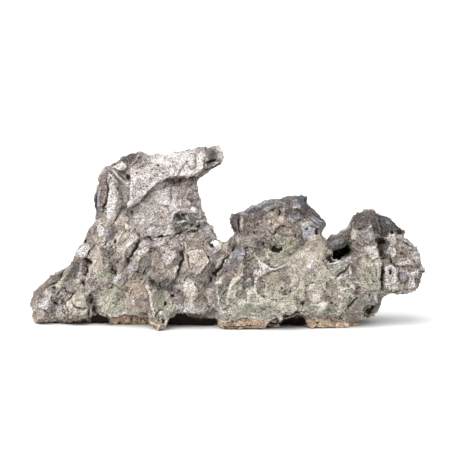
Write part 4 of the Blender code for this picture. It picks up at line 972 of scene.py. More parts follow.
def cells(points, seed):
    """With one scattered point in each cell: distances to the nearest two, and a number for the nearest."""
    base = np.floor(points).astype(np.int64)
    part = points - base
    first = np.full(len(points), 9.0)
    second = np.full(len(points), 9.0)
    number = np.zeros(len(points))
    for dx in (-1, 0, 1):
        for dy in (-1, 0, 1):
            for dz in (-1, 0, 1):
                bits = hashed(base[:, 0] + dx, base[:, 1] + dy, base[:, 2] + dz, seed)
                away = ((bits & np.uint32(1023)) / 1023.0 + dx - part[:, 0]) ** 2
                away += ((bits >> np.uint32(10) & np.uint32(1023)) / 1023.0 + dy - part[:, 1]) ** 2
                away += ((bits >> np.uint32(20) & np.uint32(1023)) / 1023.0 + dz - part[:, 2]) ** 2
                closer = away < first
                second = np.where(closer, first, np.minimum(second, away))
                number = np.where(closer, (bits >> np.uint32(4) & np.uint32(255)) / 255.0, number)
                first = np.where(closer, away, first)
    return np.sqrt(first), np.sqrt(second), number


def smooth(low, high, value):
    """0 at low, 1 at high, and a smooth step between; low may be the larger."""
    part = np.clip((value - low) / (high - low), 0, 1)
    return part * part * (3 - 2 * part)


def leaning(points, degrees, along, depth, across):
    """Points in a grid that leans in the XZ plane, with cells of that many metres each way."""
    cosine, sine = math.cos(math.radians(degrees)), math.sin(math.radians(degrees))
    x = points[:, 0] * cosine + points[:, 2] * sine
    z = -points[:, 0] * sine + points[:, 2] * cosine
    return np.stack((x / along, points[:, 1] / depth, z / across), axis=1)


# ---------------------------------------------------------------- the drawing sheet


def viewpoint(distance):
    """The place from which the sheet is drawn."""
    return LOOK_AT + distance * np.array((0.0, -math.cos(LOOK_DOWN), math.sin(LOOK_DOWN)))


def sheet(points, distance):
    """x and y of points on the sheet: sideways and upward offsets, scaled by distance over depth."""
    offset = points - viewpoint(distance)
    ahead = np.array((0.0, math.cos(LOOK_DOWN), -math.sin(LOOK_DOWN)))
    up = np.array((0.0, math.sin(LOOK_DOWN), math.cos(LOOK_DOWN)))
    scale = distance / (offset @ ahead) / UNIT
    x = SHEET_CENTRE[0] + (offset[:, 0] - LOOK_AT[0] + viewpoint(distance)[0]) * scale
    y = SHEET_CENTRE[1] - offset @ up * scale
    return x, y


def ragged_sheet(points, distance):
    """Sheet places, pushed about by up to about one unit, so that drawn edges come out broken."""
    x, y = sheet(points, distance)
    x = x + 0.7 * noise(points / 0.0065, 201) + 0.4 * noise(points / 0.0028, 202)
    y = y + 0.7 * noise(points / 0.0065, 203) + 0.4 * noise(points / 0.0028, 204)
    return x, y


def corners(text):
    """A route written as 'x,y x,y', as an array."""
    return np.array([[float(number) for number in pair.split(",")] for pair in text.split()])


def beside(x, y, low, high, margin):
    """Numbers of the places within margin of a box."""
    across = (x > low[0] - margin) & (x < high[0] + margin)
    return np.flatnonzero(across & (y > low[1] - margin) & (y < high[1] + margin))


def route_distance(x, y, route):
    """Distance to a route of straight stretches, and the share of the way along it."""
    steps = np.diff(route, axis=0)
    lengths = np.hypot(steps[:, 0], steps[:, 1])
    starts = np.cumsum(lengths) - lengths
    best = np.full(len(x), 1e9)
    way = np.zeros(len(x))
    for (left, top), (right, down), length, start in zip(route[:-1], steps, lengths, starts):
        share = np.clip(((x - left) * right + (y - top) * down) / length ** 2, 0, 1)
        away = np.hypot(x - left - share * right, y - top - share * down)
        near = away < best
        best = np.where(near, away, best)
        way = np.where(near, (start + share * length) / lengths.sum(), way)
    return best, way


def inside(x, y, outline):
    """True within a closed outline: an upward line from the place crosses it an odd number of times."""
    odd = np.zeros(len(x), bool)
    for (x1, y1), (x2, y2) in zip(outline, np.roll(outline, -1, axis=0)):
        crosses = (x1 > x) != (x2 > x)
        odd ^= crosses & (y < (y2 - y1) * (x - x1) / (x2 - x1 if x2 != x1 else 1e-9) + y1)
    return odd


def placed(x, y):
    """Each drawn feature in turn, with the places it covers, how strongly, and the shape of its rise.

    An area is full 1 unit inside its outline and ends 0.6 outside. A spot is full to 0.75 of its radii and
    ends at 1.15. Its rise is a dome: 1.1 less the square of the distance in radii, at most 1. A line is a V
    or a rib that fades out at its width from the route and narrows towards both ends.
    """
    for item in AREAS:
        outline = corners(item.outline)
        near = beside(x, y, outline.min(axis=0), outline.max(axis=0), 2)
        away, _ = route_distance(x[near], y[near], np.vstack((outline, outline[:1])))
        cover = smooth(-0.6, 1.0, np.where(inside(x[near], y[near], outline), away, -away))
        yield item, near, cover, cover
    for item in SPOTS:
        centre, radii = np.array(item.centre), np.array(item.radii)
        near = beside(x, y, centre - radii.max(), centre + radii.max(), 2)
        cosine, sine = math.cos(math.radians(item.lean)), math.sin(math.radians(item.lean))
        dx, dy = x[near] - centre[0], centre[1] - y[near]
        out = np.hypot((dx * cosine + dy * sine) / radii[0], (-dx * sine + dy * cosine) / radii[1])
        yield item, near, smooth(1.15, 0.75, out), np.clip(1.1 - out ** 2, 0, 1)
    for item in LINES:
        route = corners(item.route)
        near = beside(x, y, route.min(axis=0), route.max(axis=0), item.width)
        away, way = route_distance(x[near], y[near], route)
        taper = np.sin(np.pi * np.clip(way, 0.08, 0.92)) ** 0.4
        cover = taper * smooth(item.width, 0.3 * item.width, away)
        yield item, near, cover, taper * np.clip(1 - away / item.width, 0, 1) ** 0.8


# ---------------------------------------------------------------- mesh work


def mesh_arrays(mesh):
    """Vertex positions, outward vertex directions and edges of a mesh, as arrays."""
    count = len(mesh.vertices)
    points = np.empty(count * 3, np.float32)
    mesh.vertices.foreach_get("co", points)
    normals = np.empty(count * 3, np.float32)
    mesh.vertex_normals.foreach_get("vector", normals)
    edges = np.empty(len(mesh.edges) * 2, np.int32)
    mesh.edges.foreach_get("vertices", edges)
    return points.reshape(-1, 3).astype(float), normals.reshape(-1, 3).astype(float), edges.reshape(-1, 2)


def neighbour_mean(values, edges):
    """Each vertex's mean over its neighbours."""
    ends = edges.T.ravel()
    others = edges[:, ::-1].T.ravel()
    degree = np.bincount(ends, minlength=len(values)).clip(1)
    sums = [np.bincount(ends, values[others, axis], len(values)) / degree for axis in range(3)]
    return np.stack(sums, axis=1)


def relax(points, edges, rounds):
    """Smooth without shrinking: a step to the neighbours' mean, then a slightly larger one away from it."""
    for _ in range(rounds):
        for factor in (0.5, -0.52):
            points = points + factor * (neighbour_mean(points, edges) - points)
    return points


def hollows(points, normals, edges, rounds):
    """How far each vertex lies under the mean of what is round it, in millimetres: positive in a hollow."""
    mean = points
    for _ in range(rounds):
        mean = mean + 0.7 * (neighbour_mean(mean, edges) - mean)
    return ((mean - points) * normals).sum(axis=1) * 1000


def set_points(mesh, points):
    """Move a mesh's vertices, keeping all of them on or above the floor."""
    points = points.copy()
    points[:, 2] = np.maximum(points[:, 2], 0.0)
    mesh.vertices.foreach_set("co", points.astype(np.float32).ravel())
    mesh.update()


def store(mesh, name, values):
    """Keep three numbers at each vertex, under a name that the material reads."""
    layer = mesh.attributes.new(name, "FLOAT_COLOR", "POINT")
    filled = np.column_stack((values, np.ones(len(values)))).astype(np.float32)
    layer.data.foreach_set("color", filled.ravel())


def with_modifier(mesh, kind, weights=(), **settings):
    """A new mesh with one modifier applied, in place of the old one.

    Weights are pairs of vertex numbers and one weight for them all.
    """
    helper = bpy.data.objects.new("helper", mesh)
    for members, weight in weights:
        group = helper.vertex_groups.get("weights") or helper.vertex_groups.new(name="weights")
        group.add(members.tolist(), weight, "REPLACE")
    bpy.context.scene.collection.objects.link(helper)
    modifier = helper.modifiers.new(kind, kind)
    for key, value in settings.items():
        setattr(modifier, key, value)
    finished = helper.evaluated_get(bpy.context.evaluated_depsgraph_get())
    made = bpy.data.meshes.new_from_object(finished)
    bpy.data.objects.remove(helper)
    bpy.data.meshes.remove(mesh)
    return made


def fused(mesh, size):
    """The same solid as an even mesh."""
    return with_modifier(mesh, "REMESH", mode="VOXEL", voxel_size=size, use_smooth_shade=True)


def thinned(mesh, facing, settings):
    """The same skin with fewer triangles, more of which are kept on the front."""
    mesh.calc_loop_triangles()
    ratio = min(1.0, settings.faces / len(mesh.loop_triangles))
    weights = ((np.flatnonzero(facing < 0.5), 1.0), (np.flatnonzero(facing >= 0.5), 0.5))
    return with_modifier(mesh, "DECIMATE", weights, ratio=ratio, vertex_group="weights",
                         vertex_group_factor=settings.front_detail)


def remove_flaps(mesh):
    """Take away the back-to-back triangles that thinning can leave on an edge, and close the holes."""
    mesh.calc_loop_triangles()
    count = len(mesh.loop_triangles)
    ends = np.empty(count * 3, np.int32)
    mesh.loop_triangles.foreach_get("vertices", ends)
    face = np.empty(count, np.int32)
    mesh.loop_triangles.foreach_get("polygon_index", face)
    triangles = np.sort(ends.reshape(-1, 3), axis=1)
    _, same, times = np.unique(triangles, axis=0, return_inverse=True, return_counts=True)
    bm = bmesh.new()
    bm.from_mesh(mesh)
    bm.faces.ensure_lookup_table()
    doubled = [bm.faces[number] for number in face[times[same] > 1]]
    bmesh.ops.delete(bm, geom=doubled, context="FACES")
    bmesh.ops.holes_fill(bm, edges=bm.edges[:], sides=0)
    bmesh.ops.recalc_face_normals(bm, faces=bm.faces[:])
    bm.to_mesh(mesh)
    bm.free()


def solid_copy(node):
    """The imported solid's mesh with its loose triangles joined."""
    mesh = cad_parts[node].data.copy()
    mesh.materials.clear()
    bm = bmesh.new()
    bm.from_mesh(mesh)
    bmesh.ops.remove_doubles(bm, verts=bm.verts, dist=1e-5)
    bm.to_mesh(mesh)
    bm.free()
    return mesh


# ---------------------------------------------------------------- the skin


def front_facing(normals):
    """1 on faces that look at the viewing point, 0 on those that look away."""
    towards = np.array((0.0, -math.cos(LOOK_DOWN), math.sin(LOOK_DOWN)))
    return smooth(-0.1, 0.25, normals @ towards)


def zones(points, distance):
    """Shares of the left range, the right range and the knob, whose bedding leans differently."""
    x, y = sheet(points, distance)
    out = np.hypot((x - KNOB_CENTRE[0]) / KNOB_RADII[0], (y - KNOB_CENTRE[1]) / KNOB_RADII[1])
    knob = smooth(1.15, 0.85, out)
    right = smooth(BORDER_LEFT, BORDER_RIGHT, x + BORDER_SLANT * (y - BORDER_LEVEL)) * (1 - knob)
    return 1 - right - knob, right, knob


def broad_relief(points, distance):
    """Height in millimetres of lumps about 15 mm across, creased between: the size of a bent noise."""
    left, right, knob = zones(points, distance)
    bent = points + 0.004 * vectors(points / 0.02, 3)
    lumps = np.abs(noise(leaning(bent, LEFT_LEAN, 0.026, 0.014, 0.011), 11)) * left
    lumps += np.abs(noise(leaning(bent, RIGHT_LUMP_LEAN, 0.019, 0.013, 0.012), 12)) * right
    lumps += np.abs(noise(leaning(bent, KNOB_LUMP_LEAN, 0.020, 0.012, 0.010), 13)) * knob
    return 3.2 * lumps - 0.9


def recessed(points):
    """The share, 0 to 1, by which each point lies under one of the low arches and behind its front lip."""
    x, y, z = points.T
    share = np.zeros(len(points))
    for left, right, lip in RECESSES:
        across = smooth(left - RECESS_EDGE, left + RECESS_EDGE, x)
        across = across * smooth(right + RECESS_EDGE, right - RECESS_EDGE, x)
        share = np.maximum(share, across * smooth(lip, lip + RECESS_DEPTH, y))
    return share * smooth(*RECESS_TOP, z)


def closed_recesses(points, normals):
    """Points with the undersides behind each arch's lip brought down to the floor, so no tunnel is left."""
    share = recessed(points) * smooth(-0.1, -0.4, normals[:, 2])
    return points * (1 - share[:, None] * np.array((0.0, 0.0, 1.0)))


def recess_shadow(points):
    """The share by which each point lies in the dark of an arch: low down, in the stone's front half."""
    behind_lip = recessed(points + np.array((0.0, RECESS_DEPTH, 0.0)))
    return behind_lip * smooth(0.03, 0.01, points[:, 1]) * smooth(0.012, 0.007, points[:, 2])


def ledges(points, lean, size, seed):
    """Broken edges of thin layers: height, shadow and light.

    The share of the way through each layer rises to its edge, then drops within an eighth of the layer.
    Noise bends the layers and lets each ledge begin and end.
    """
    grid = leaning(points, lean, 1, 1, 1)
    level = grid[:, 2] / size + 1.1 * layered(points / 0.024, 2, seed)
    level = level + 0.22 * noise(points / 0.005, seed + 5)
    share = 1 - (level - np.floor(level))
    number = np.floor(level) * 7.77
    along = np.stack((grid[:, 0] / 0.022, grid[:, 1] / 0.02, number), axis=1)
    keep = smooth(-0.12, 0.22, noise(along, seed + 6))
    height = share ** 1.6 * smooth(1.0, 0.88, share)
    light = smooth(0.62, 0.86, share) * smooth(1.0, 0.9, share)
    return height * keep, smooth(0.16, 0.0, share) * keep, light * keep


def plates(points, seed):
    """Leaning plates about 30 mm long, as bent cells: a crack round each, painted dark as shade, and a
    number for it.
    """
    bent = points + 0.007 * vectors(points / 0.02, seed)
    first, second, number = cells(leaning(bent, SIDE_PLATE_LEAN, 0.036, 0.030, 0.019), seed + 5)
    broken = smooth(-0.25, 0.15, noise(points / 0.013, seed + 6))
    return smooth(0.10, 0.0, second - first) * broken, number


def strokes(points, leans, size, seed):
    """Short grooves along the bedding, painted dark as shade: where stretched noises pass through zero,
    kept in patches.
    """
    total = np.zeros(len(points))
    for step, lean in enumerate(leans):
        grid = leaning(points, lean, 4 * size, 2 * size, size)
        line = smooth(0.14, 0.03, np.abs(noise(grid, seed + step)))
        patch = smooth(-0.2, 0.3, noise(points / (5 * size) + 3.7, seed + 4 + step))
        total = np.maximum(total, line * patch)
    return total


def skin(points, distance):
    """The grown relief: height in millimetres, painted shade, painted highlight, and a tone for each small
    plate.

    It adds up ledges, small plates at cell-by-cell heights with gaps between them, round pits, strokes and
    fine noise. The tone goes from -1 to 1.
    """
    left, right, knob = zones(points, distance)
    bent = points + 0.0018 * vectors(points / 0.008, 21)
    slope = ledges(points, LEFT_LEAN, 0.0085, 31)
    fold = ledges(points, RIGHT_LEDGE_LEAN, 0.0095, 41)
    crag = ledges(points, KNOB_LEDGE_LEAN, 0.0060, 51)
    rise, dark, light = (on_left * left + on_right * right + on_knob * knob
                         for on_left, on_right, on_knob in zip(slope, fold, crag))
    height = 2.9 * (rise - 0.35)
    tall = leaning(bent, LEFT_LEAN, 0.0125, 0.009, 0.0062)
    wide = leaning(bent, RIGHT_PLATE_LEAN, 0.0105, 0.009, 0.0072)
    place = tall * left[:, None] + wide * (1 - left)[:, None]
    first, second, number = cells(place, 61)
    cracked = smooth(0.0, 0.35, layered(points / 0.026, 2, 71))
    gap = smooth(0.12, 0.0, second - first) * cracked * smooth(-0.3, 0.2, noise(points / 0.007, 73))
    height += 2.2 * (0.4 + 0.6 * cracked) * (number - 0.5) - 0.8 * gap
    tone = number * 2 - 1
    stroke = strokes(bent, (57, 62), 0.0034, 151) * left
    stroke = stroke + strokes(bent, (20, -35), 0.0036, 161) * (1 - left)
    first, _, number = cells(bent / 0.0044, 81)
    pit = smooth(0.40, 0.18, first) * (number > 0.72)
    height -= 0.7 * pit + 0.8 * stroke
    height += 1.6 * np.abs(noise(bent / 0.0056, 91)) - 0.4 + 0.9 * layered(points / 0.0032, 2, 97)
    # painted shade under the ledges, in the gaps, the pits and the strokes
    dark = np.maximum.reduce((0.9 * dark, 0.65 * gap, 0.55 * pit, 0.6 * stroke))
    return height, dark, light, tone


def blend(colour, other, share):
    """Mix a share of one colour into an array of colours, in place."""
    colour += (other - colour) * np.clip(share, 0, 1)[:, None]


def grown_colour(points, normals, distance, palette, motes):
    """Colour from place alone: clouds of cream and umber, lichen low down, slate on top, earth below."""
    clouds = layered(points / 0.024, 3, 101)
    colour = np.tile(palette["stone"], (len(points), 1))
    blend(colour, palette["cream"], 0.65 * smooth(-0.05, 0.45, clouds + 0.25 * motes))
    blend(colour, palette["umber"], 0.60 * smooth(0.0, 0.5, -clouds + 0.4 * motes))
    low = smooth(0.11, 0.02, points[:, 2])
    _, right, _ = zones(points, distance)
    blend(colour, palette["moss"], 0.35 * right * smooth(-0.3, 0.3, clouds - 0.3 * motes))
    patches = smooth(-0.1, 0.3, layered(points / 0.03, 3, 121) + 0.2 * motes)
    blend(colour, palette["moss"], 0.6 * low * patches)
    top = smooth(0.35, 0.85, normals[:, 2]) * smooth(0.09, 0.14, points[:, 2])
    blend(colour, palette["dark_slate"], 0.7 * top * smooth(-0.3, 0.2, motes))
    foot = smooth(0.009, 0.005, points[:, 2] + 0.003 * motes)
    blend(colour, palette["crust"], 0.7 * foot)
    return colour


def paint_plates(colour, number, hidden, palette):
    """Stain the large plates of the sides and the back, each by its own number."""
    for name, low, high, share in PLATE_STAINS:
        blend(colour, palette[name], share * hidden * (number > low) * (number < high))


def paint_drawing(points, facing, distance, palette, colour):
    """Lay everything drawn on the sheet over the colour, in order, and hand back what it does to the stone.

    These are its rise in millimetres, how far it calms the grown relief, its painted shade and its fine
    speckle.
    """
    rise = np.zeros(len(points))
    calm = np.zeros(len(points))
    drawn = np.zeros(len(points))
    speckle = np.full(len(points), PLAIN_SPECKLE)
    x, y = ragged_sheet(points, distance)
    for item, near, cover, shape in placed(x, y):
        strength = item.share * cover * facing[near]
        # the blackest colour is not mixed in here: it is painted shade, laid on in the material
        if item.colour == "soot":
            drawn[near] = np.maximum(drawn[near], strength)
        else:
            colour[near] += (palette[item.colour] - colour[near]) * strength[:, None]
            drawn[near] *= 1 - 0.5 * strength
            speckle[near] += (SPECKLE[item.colour] - speckle[near]) * strength
        rise[near] += item.rise * shape * facing[near]
        calm[near] = np.maximum(calm[near], CALM.get(item.colour, 0.0) * strength)
    return rise, calm, drawn, speckle


def carve_and_paint(points, normals, settings):
    """Height in metres, colour, and painted shade, painted highlight and speckle at each vertex.

    The grown skin comes first, then the large plates of the sides and the back, then everything drawn on
    the sheet, and last the painted shadow in the arches.
    """
    palette = {name: np.array(getattr(settings, name)) for name in PALETTE}
    distance = settings.view_distance
    facing = front_facing(normals)
    hidden = 1 - facing
    height, dark, light, tone = skin(points, distance)
    motes = layered(points / 0.006, 3, 111)
    colour = grown_colour(points, normals, distance, palette, motes)
    crack, number = plates(points, 171)
    paint_plates(colour, number, hidden, palette)
    # painted shade in the cracks between the large plates
    dark = np.maximum(dark, 0.95 * crack * hidden)
    height += (3.0 * (number - 0.5) - 1.2 * crack) * hidden
    colour *= np.clip(1 + 0.26 * tone + 0.20 * motes, 0.4, 1.7)[:, None]
    rise, calm, drawn, speckle = paint_drawing(points, facing, distance, palette, colour)
    shadow = recess_shadow(points)
    drawn = np.maximum(drawn, shadow)
    blend(colour, palette["soot"], shadow)
    height = height * (1 - calm) * settings.weathering + rise
    colour *= (1 + 0.14 * tone + 0.10 * motes)[:, None]
    painted_light_and_speckle = np.stack((np.maximum(dark * (1 - calm), drawn), light * (1 - calm), speckle), axis=1)
    return height * 0.001, np.clip(colour, 0, 1), np.clip(painted_light_and_speckle, 0, 1)


def painted_shade_and_highlight(points, normals, edges, painted_light_and_speckle):
    """Paint shade into what lies under its surroundings, near or broad, and paint a highlight on what
    stands out a little.
    """
    fine, broad = hollows(points, normals, edges, 3), hollows(points, normals, edges, 25)
    sunken = np.maximum(0.55 * smooth(0.15, 0.8, fine), 0.5 * smooth(0.3, 2.0, broad))
    painted_light_and_speckle[:, 0] = 1 - (1 - painted_light_and_speckle[:, 0]) * (1 - sunken)
    painted_light_and_speckle[:, 1] = np.maximum(painted_light_and_speckle[:, 1], smooth(0.08, 0.5, -fine)) * (1 - painted_light_and_speckle[:, 0])


def weathered_mesh(settings):
    """Carve the broad lumps, fuse, carve and paint the skin, thin the mesh out and mend its flaps."""
    mesh = fused(solid_copy("rock"), settings.first_grain)
    points, _, edges = mesh_arrays(mesh)
    set_points(mesh, relax(points, edges, 3))
    points, normals, edges = mesh_arrays(mesh)
    lumps = broad_relief(points, settings.view_distance) * settings.weathering * 0.001
    set_points(mesh, closed_recesses(points + normals * lumps[:, None], normals))
    mesh = fused(mesh, settings.final_grain)
    points, normals, edges = mesh_arrays(mesh)
    height, colour, painted_light_and_speckle = carve_and_paint(points, normals, settings)
    facing = front_facing(normals)
    set_points(mesh, points + normals * height[:, None])
    points, normals, edges = mesh_arrays(mesh)
    painted_shade_and_highlight(points, normals, edges, painted_light_and_speckle)
    store(mesh, "tint", colour)
    store(mesh, "painted_light_and_speckle", painted_light_and_speckle)
    mesh = thinned(mesh, facing, settings)
    remove_flaps(mesh)
    set_points(mesh, mesh_arrays(mesh)[0])
    mesh.shade_smooth()
    return mesh


# ---------------------------------------------------------------- materials


class Socket:
    """A node's output, with the operators that build Math nodes."""

    def __init__(self, tree, link):
        self.tree, self.link = tree, link

    def math(self, operation, first, second):
        return self.tree.node("ShaderNodeMath", {"operation": operation}, {0: first, 1: second})

    def __add__(self, other):
        return self.math("ADD", self, other)

    def __sub__(self, other):
        return self.math("SUBTRACT", self, other)

    def __rsub__(self, other):
        return self.math("SUBTRACT", other, self)

    def __mul__(self, other):
        return self.math("MULTIPLY", self, other)

    __radd__ = __add__
    __rmul__ = __mul__


class Tree:
    """A new material's nodes, made one at a time."""

    def __init__(self, name):
        self.material = bpy.data.materials.new(name)
        self.material.use_nodes = True
        self.nodes = self.material.node_tree.nodes
        self.nodes.clear()

    def node(self, kind, settings=None, inputs=None, output=0):
        """Make one node: its settings, then its inputs, and hand back one of its outputs."""
        made = self.nodes.new(kind)
        for key, value in (settings or {}).items():
            setattr(made, key, value)
        for key, value in (inputs or {}).items():
            if isinstance(value, Socket):
                self.material.node_tree.links.new(value.link, made.inputs[key])
            else:
                made.inputs[key].default_value = value
        return Socket(self, made.outputs[output]) if made.outputs else None

    def between(self, value, low, high):
        """0 at low to 1 at high, smoothly."""
        return self.node("ShaderNodeMapRange", {"interpolation_type": "SMOOTHSTEP"},
                         {"Value": value, "From Min": low, "From Max": high})

    def mix(self, share, first, second):
        """A colour mixed from two."""
        return self.node("ShaderNodeMix", {"data_type": "RGBA"}, {"Factor": share, 6: first, 7: second},
                         output=2)

    def noise(self, place, scale, detail=3.0, roughness=0.6):
        """Noise at so many cells to the metre."""
        return self.node("ShaderNodeTexNoise", {},
                         {"Vector": place, "Scale": scale, "Detail": detail, "Roughness": roughness})

    def finish(self, colour, roughness, bump):
        """Join colour, roughness and bump to a matt shader, and hand back the material."""
        shader = self.node("ShaderNodeBsdfPrincipled", {},
                           {"Base Color": colour, "Roughness": roughness, "Normal": bump,
                            "Specular IOR Level": 0.2})
        self.node("ShaderNodeOutputMaterial", {}, {"Surface": shader})
        return self.material


def stone_material(settings):
    """Limestone: the painted colour, broken up by grain along the bedding, grit, flecks and dust."""
    tree = Tree("weathered_limestone")
    place = tree.node("ShaderNodeTexCoord", output=3)
    painted = tree.node("ShaderNodeAttribute", {"attribute_name": "tint"})
    painted_light_and_speckle = tree.node("ShaderNodeAttribute", {"attribute_name": "painted_light_and_speckle"}, output=1)
    painted_light_and_speckle = tree.node("ShaderNodeSeparateXYZ", {}, {"Vector": painted_light_and_speckle})
    dark, light, speckle = (Socket(tree, painted_light_and_speckle.link.node.outputs[part]) for part in range(3))
    turned = tree.node("ShaderNodeMapping", {},
                       {"Vector": place, "Rotation": (0.0, math.radians(LEFT_LEAN), 0.0),
                        "Scale": (1.0, 1.4, 2.8)})
    grain = tree.noise(turned, 130.0, 4.0, 0.7)
    speck = tree.noise(place, 260.0, 3.0, 0.65)
    grit = tree.noise(place, 520.0, 4.0, 0.7)
    dust = tree.noise(place, 780.0, 2.0, 0.7)
    soot, umber, chalk = ((*shade, 1.0) for shade in (settings.soot, settings.umber, settings.chalk))
    # a lighter copy of the painted colour, for light flecks and for the painted highlight
    pale = tree.node("ShaderNodeVectorMath", {"operation": "SCALE"}, {0: painted, "Scale": 1.8})
    pale = tree.node("ShaderNodeVectorMath", {"operation": "MINIMUM"}, {0: pale, 1: settings.brightest})
    pale = tree.mix(0.25, pale, chalk)
    dusty = 0.35 + 0.65 * speckle
    # each layer: how strongly it is laid on, the field that places it, where that starts and is full,
    # and its colour
    layers = (
        (0.50 * speckle, grain, 0.52, 0.64, soot),
        (0.55 * speckle, grain, 0.46, 0.34, pale),
        (0.75 * speckle, grit, 0.54, 0.62, umber),
        (0.60 * speckle, grit, 0.46, 0.36, pale),
        (0.92 * dusty, dust, 0.53, 0.59, soot),
        (0.85 * dusty, dust, 0.46, 0.39, pale),
        # painted highlight on crests and ledge lips, then painted shade in hollows, cracks, pits and arches
        (0.65, light + 0.8 * (grit - 0.5), 0.30, 0.75, pale),
        (1.00, dark + 0.7 * (speck - 0.5), 0.30, 0.90, soot),
    )
    colour = painted
    for share, field, low, high, other in layers:
        colour = tree.mix(share * tree.between(field, low, high), colour, other)
    relief = 0.5 * grit + 0.6 * grain + 0.6 * speck + 0.5 * dust
    bump = tree.node("ShaderNodeBump", {}, {"Height": relief, "Strength": 0.8, "Distance": 0.0014})
    return tree.finish(colour, 0.68 + 0.25 * grit, bump)


def floor_material(settings):
    """Matt white paper with a faint tooth."""
    tree = Tree("pale_floor")
    tooth = tree.noise(tree.node("ShaderNodeTexCoord", output=3), 600.0)
    bump = tree.node("ShaderNodeBump", {}, {"Height": tooth, "Strength": 0.02, "Distance": 0.0002})
    return tree.finish((*settings.floor_colour, 1.0), 0.6, bump)


# ---------------------------------------------------------------- settings


def colour_setting(name, default):
    """A colour property."""
    return FloatVectorProperty(name=name, description=f"Colour of the {name.lower()}", subtype="COLOR",
                               size=3, min=0, max=1, default=default)


def length_setting(name, description, default):
    """A length property, in metres."""
    return FloatProperty(name=name, description=description, default=default, unit="LENGTH")


class StoneSettings(bpy.types.PropertyGroup):
    """Mesh sizes, the strength of the relief, and the palette"""

    first_grain: length_setting("First grain", "Size of the even mesh that is carved first", 0.0016)
    final_grain: length_setting("Final grain", "Size of the even mesh that takes the fine skin", 0.00105)
    faces: IntProperty(name="Faces", description="Triangles kept in the finished skin", default=194000)
    front_detail: FloatProperty(name="Front detail", description="How much dearer it is to thin the front",
                                default=0.1, precision=3)
    weathering: FloatProperty(name="Weathering", description="Strength of the grown relief", default=1.0)
    view_distance: length_setting("View distance", "From the viewing point to the stone's middle", 2.6)
    stone: colour_setting("Bare stone", (0.31, 0.27, 0.25))
    cream: colour_setting("Cream stone", (0.54, 0.475, 0.39))
    chalk: colour_setting("Chalk", (0.74, 0.695, 0.685))
    pebble: colour_setting("Smooth rim", (0.20, 0.175, 0.145))
    # pale blue-grey stone, and on the slate a painted sheen
    ice: colour_setting("Pale blue calcite and painted sheen", (0.36, 0.36, 0.405))
    slate: colour_setting("Slate", (0.085, 0.080, 0.092))
    dark_slate: colour_setting("Dark slate", (0.040, 0.035, 0.034))
    slate_moss: colour_setting("Grey-green skin", (0.27, 0.27, 0.23))
    # umber stains, and in a few places painted shade under overhangs
    umber: colour_setting("Umber stain and painted shade", (0.145, 0.108, 0.086))
    # painted shade in hollows, cracks and arches, and dark flecks in the grain
    soot: colour_setting("Painted shade in hollows and dark flecks", (0.018, 0.0115, 0.008))
    moss: colour_setting("Pale lichen", (0.345, 0.35, 0.27))
    olive: colour_setting("Olive lichen", (0.20, 0.185, 0.125))
    dark_moss: colour_setting("Dark lichen", (0.082, 0.086, 0.072))
    crust: colour_setting("Earth crust", (0.52, 0.365, 0.25))
    ochre: colour_setting("Ochre stain", (0.44, 0.325, 0.225))
    brightest: colour_setting("Brightest fleck", (0.90, 0.87, 0.85))


class StageSettings(bpy.types.PropertyGroup):
    """Floor and light"""

    floor_colour: colour_setting("Floor", (0.95, 0.95, 0.95))
    sky: FloatProperty(name="Sky", description="Strength of the even light from all round", default=0.8)
    sun: FloatProperty(name="Sun", description="Strength of the soft light from the upper left",
                       default=2.7)
    softness: FloatProperty(name="Softness", description="How wide the soft light is",
                            default=math.radians(64), subtype="ANGLE")


# ---------------------------------------------------------------- operators


class SCHOLAR_OT_stone(bpy.types.Operator):
    """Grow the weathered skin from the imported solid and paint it"""

    bl_idname = "scholar.stone"
    bl_label = "Carve the stone"

    def execute(self, context):
        settings = context.scene.scholar_stone
        mesh = weathered_mesh(settings)
        mesh.name = "weathered_rock"
        mesh.materials.append(stone_material(settings))
        rock = bpy.data.objects.new("weathered_rock", mesh)
        context.scene.collection.objects.link(rock)
        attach(rock, "root")
        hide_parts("rock")
        return {"FINISHED"}


def floor_mesh():
    """One wide square just under the stone."""
    mesh = bpy.data.meshes.new("floor")
    bm = bmesh.new()
    bmesh.ops.create_grid(bm, x_segments=1, y_segments=1, size=FLOOR_REACH,
                          matrix=Matrix.Translation((0.0, 0.0, -FLOOR_DROP)))
    bm.to_mesh(mesh)
    bm.free()
    return mesh


def put(scene, data, place, target):
    """Place a lamp or a camera and turn it to its target."""
    holder = bpy.data.objects.new(data.name, data)
    holder.location = place
    holder.rotation_euler = (target - place).to_track_quat("-Z", "Y").to_euler()
    scene.collection.objects.link(holder)
    return holder


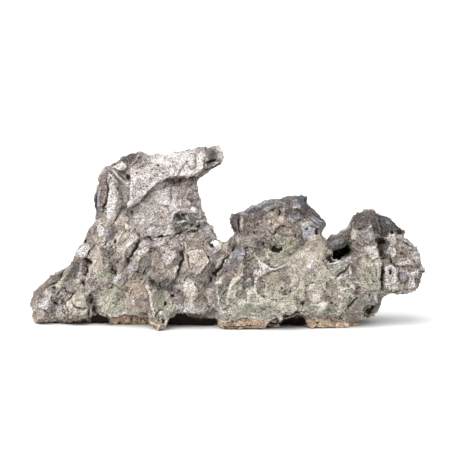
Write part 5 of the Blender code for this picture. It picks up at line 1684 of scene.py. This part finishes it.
class SCHOLAR_OT_stage(bpy.types.Operator):
    """Set the floor, the soft lights and the camera"""

    bl_idname = "scholar.stage"
    bl_label = "Set the stage"

    def execute(self, context):
        scene = context.scene
        stage, distance = scene.scholar_stage, scene.scholar_stone.view_distance
        mesh = floor_mesh()
        mesh.materials.append(floor_material(stage))
        floor = bpy.data.objects.new("floor", mesh)
        scene.collection.objects.link(floor)
        scene.world = bpy.data.worlds.new("studio")
        scene.world.use_nodes = True
        background = scene.world.node_tree.nodes["Background"]
        background.inputs["Color"].default_value = (1.0, 1.0, 1.0, 1.0)
        background.inputs["Strength"].default_value = stage.sky
        lamp = bpy.data.lights.new("soft_sun", "SUN")
        lamp.energy = stage.sun
        lamp.angle = stage.softness
        put(scene, lamp, Vector(SUN_PLACE), Vector((0.0, 0.0, 0.0)))
        camera = bpy.data.cameras.new("camera")
        camera.angle = 2 * math.atan(SHEET * UNIT / 2 / distance)
        camera.clip_end = FARTHEST
        scene.camera = put(scene, camera, Vector(viewpoint(distance)), Vector(LOOK_AT))
        scene.view_settings.view_transform = "Standard"
        return {"FINISHED"}


class SCHOLAR_PT_panel(bpy.types.Panel):
    """Sidebar panel with each step and its settings"""

    bl_idname = "SCHOLAR_PT_panel"
    bl_label = "Scholar's Rock"
    bl_space_type = "VIEW_3D"
    bl_region_type = "UI"
    bl_category = "Stone"

    def draw(self, context):
        for operator, settings in (("scholar.stone", context.scene.scholar_stone),
                                   ("scholar.stage", context.scene.scholar_stage)):
            box = self.layout.box()
            box.operator(operator)
            for name in settings.__annotations__:
                box.prop(settings, name)


CLASSES = (StoneSettings, StageSettings, SCHOLAR_OT_stone, SCHOLAR_OT_stage, SCHOLAR_PT_panel)


def register():
    for item in CLASSES:
        bpy.utils.register_class(item)
    bpy.types.Scene.scholar_stone = PointerProperty(type=StoneSettings)
    bpy.types.Scene.scholar_stage = PointerProperty(type=StageSettings)


def unregister():
    del bpy.types.Scene.scholar_stage
    del bpy.types.Scene.scholar_stone
    for item in reversed(CLASSES):
        bpy.utils.unregister_class(item)


def main():
    """Register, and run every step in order."""
    register()
    bpy.ops.scholar.stone()
    bpy.ops.scholar.stage()


if __name__ == "__main__":
    main()
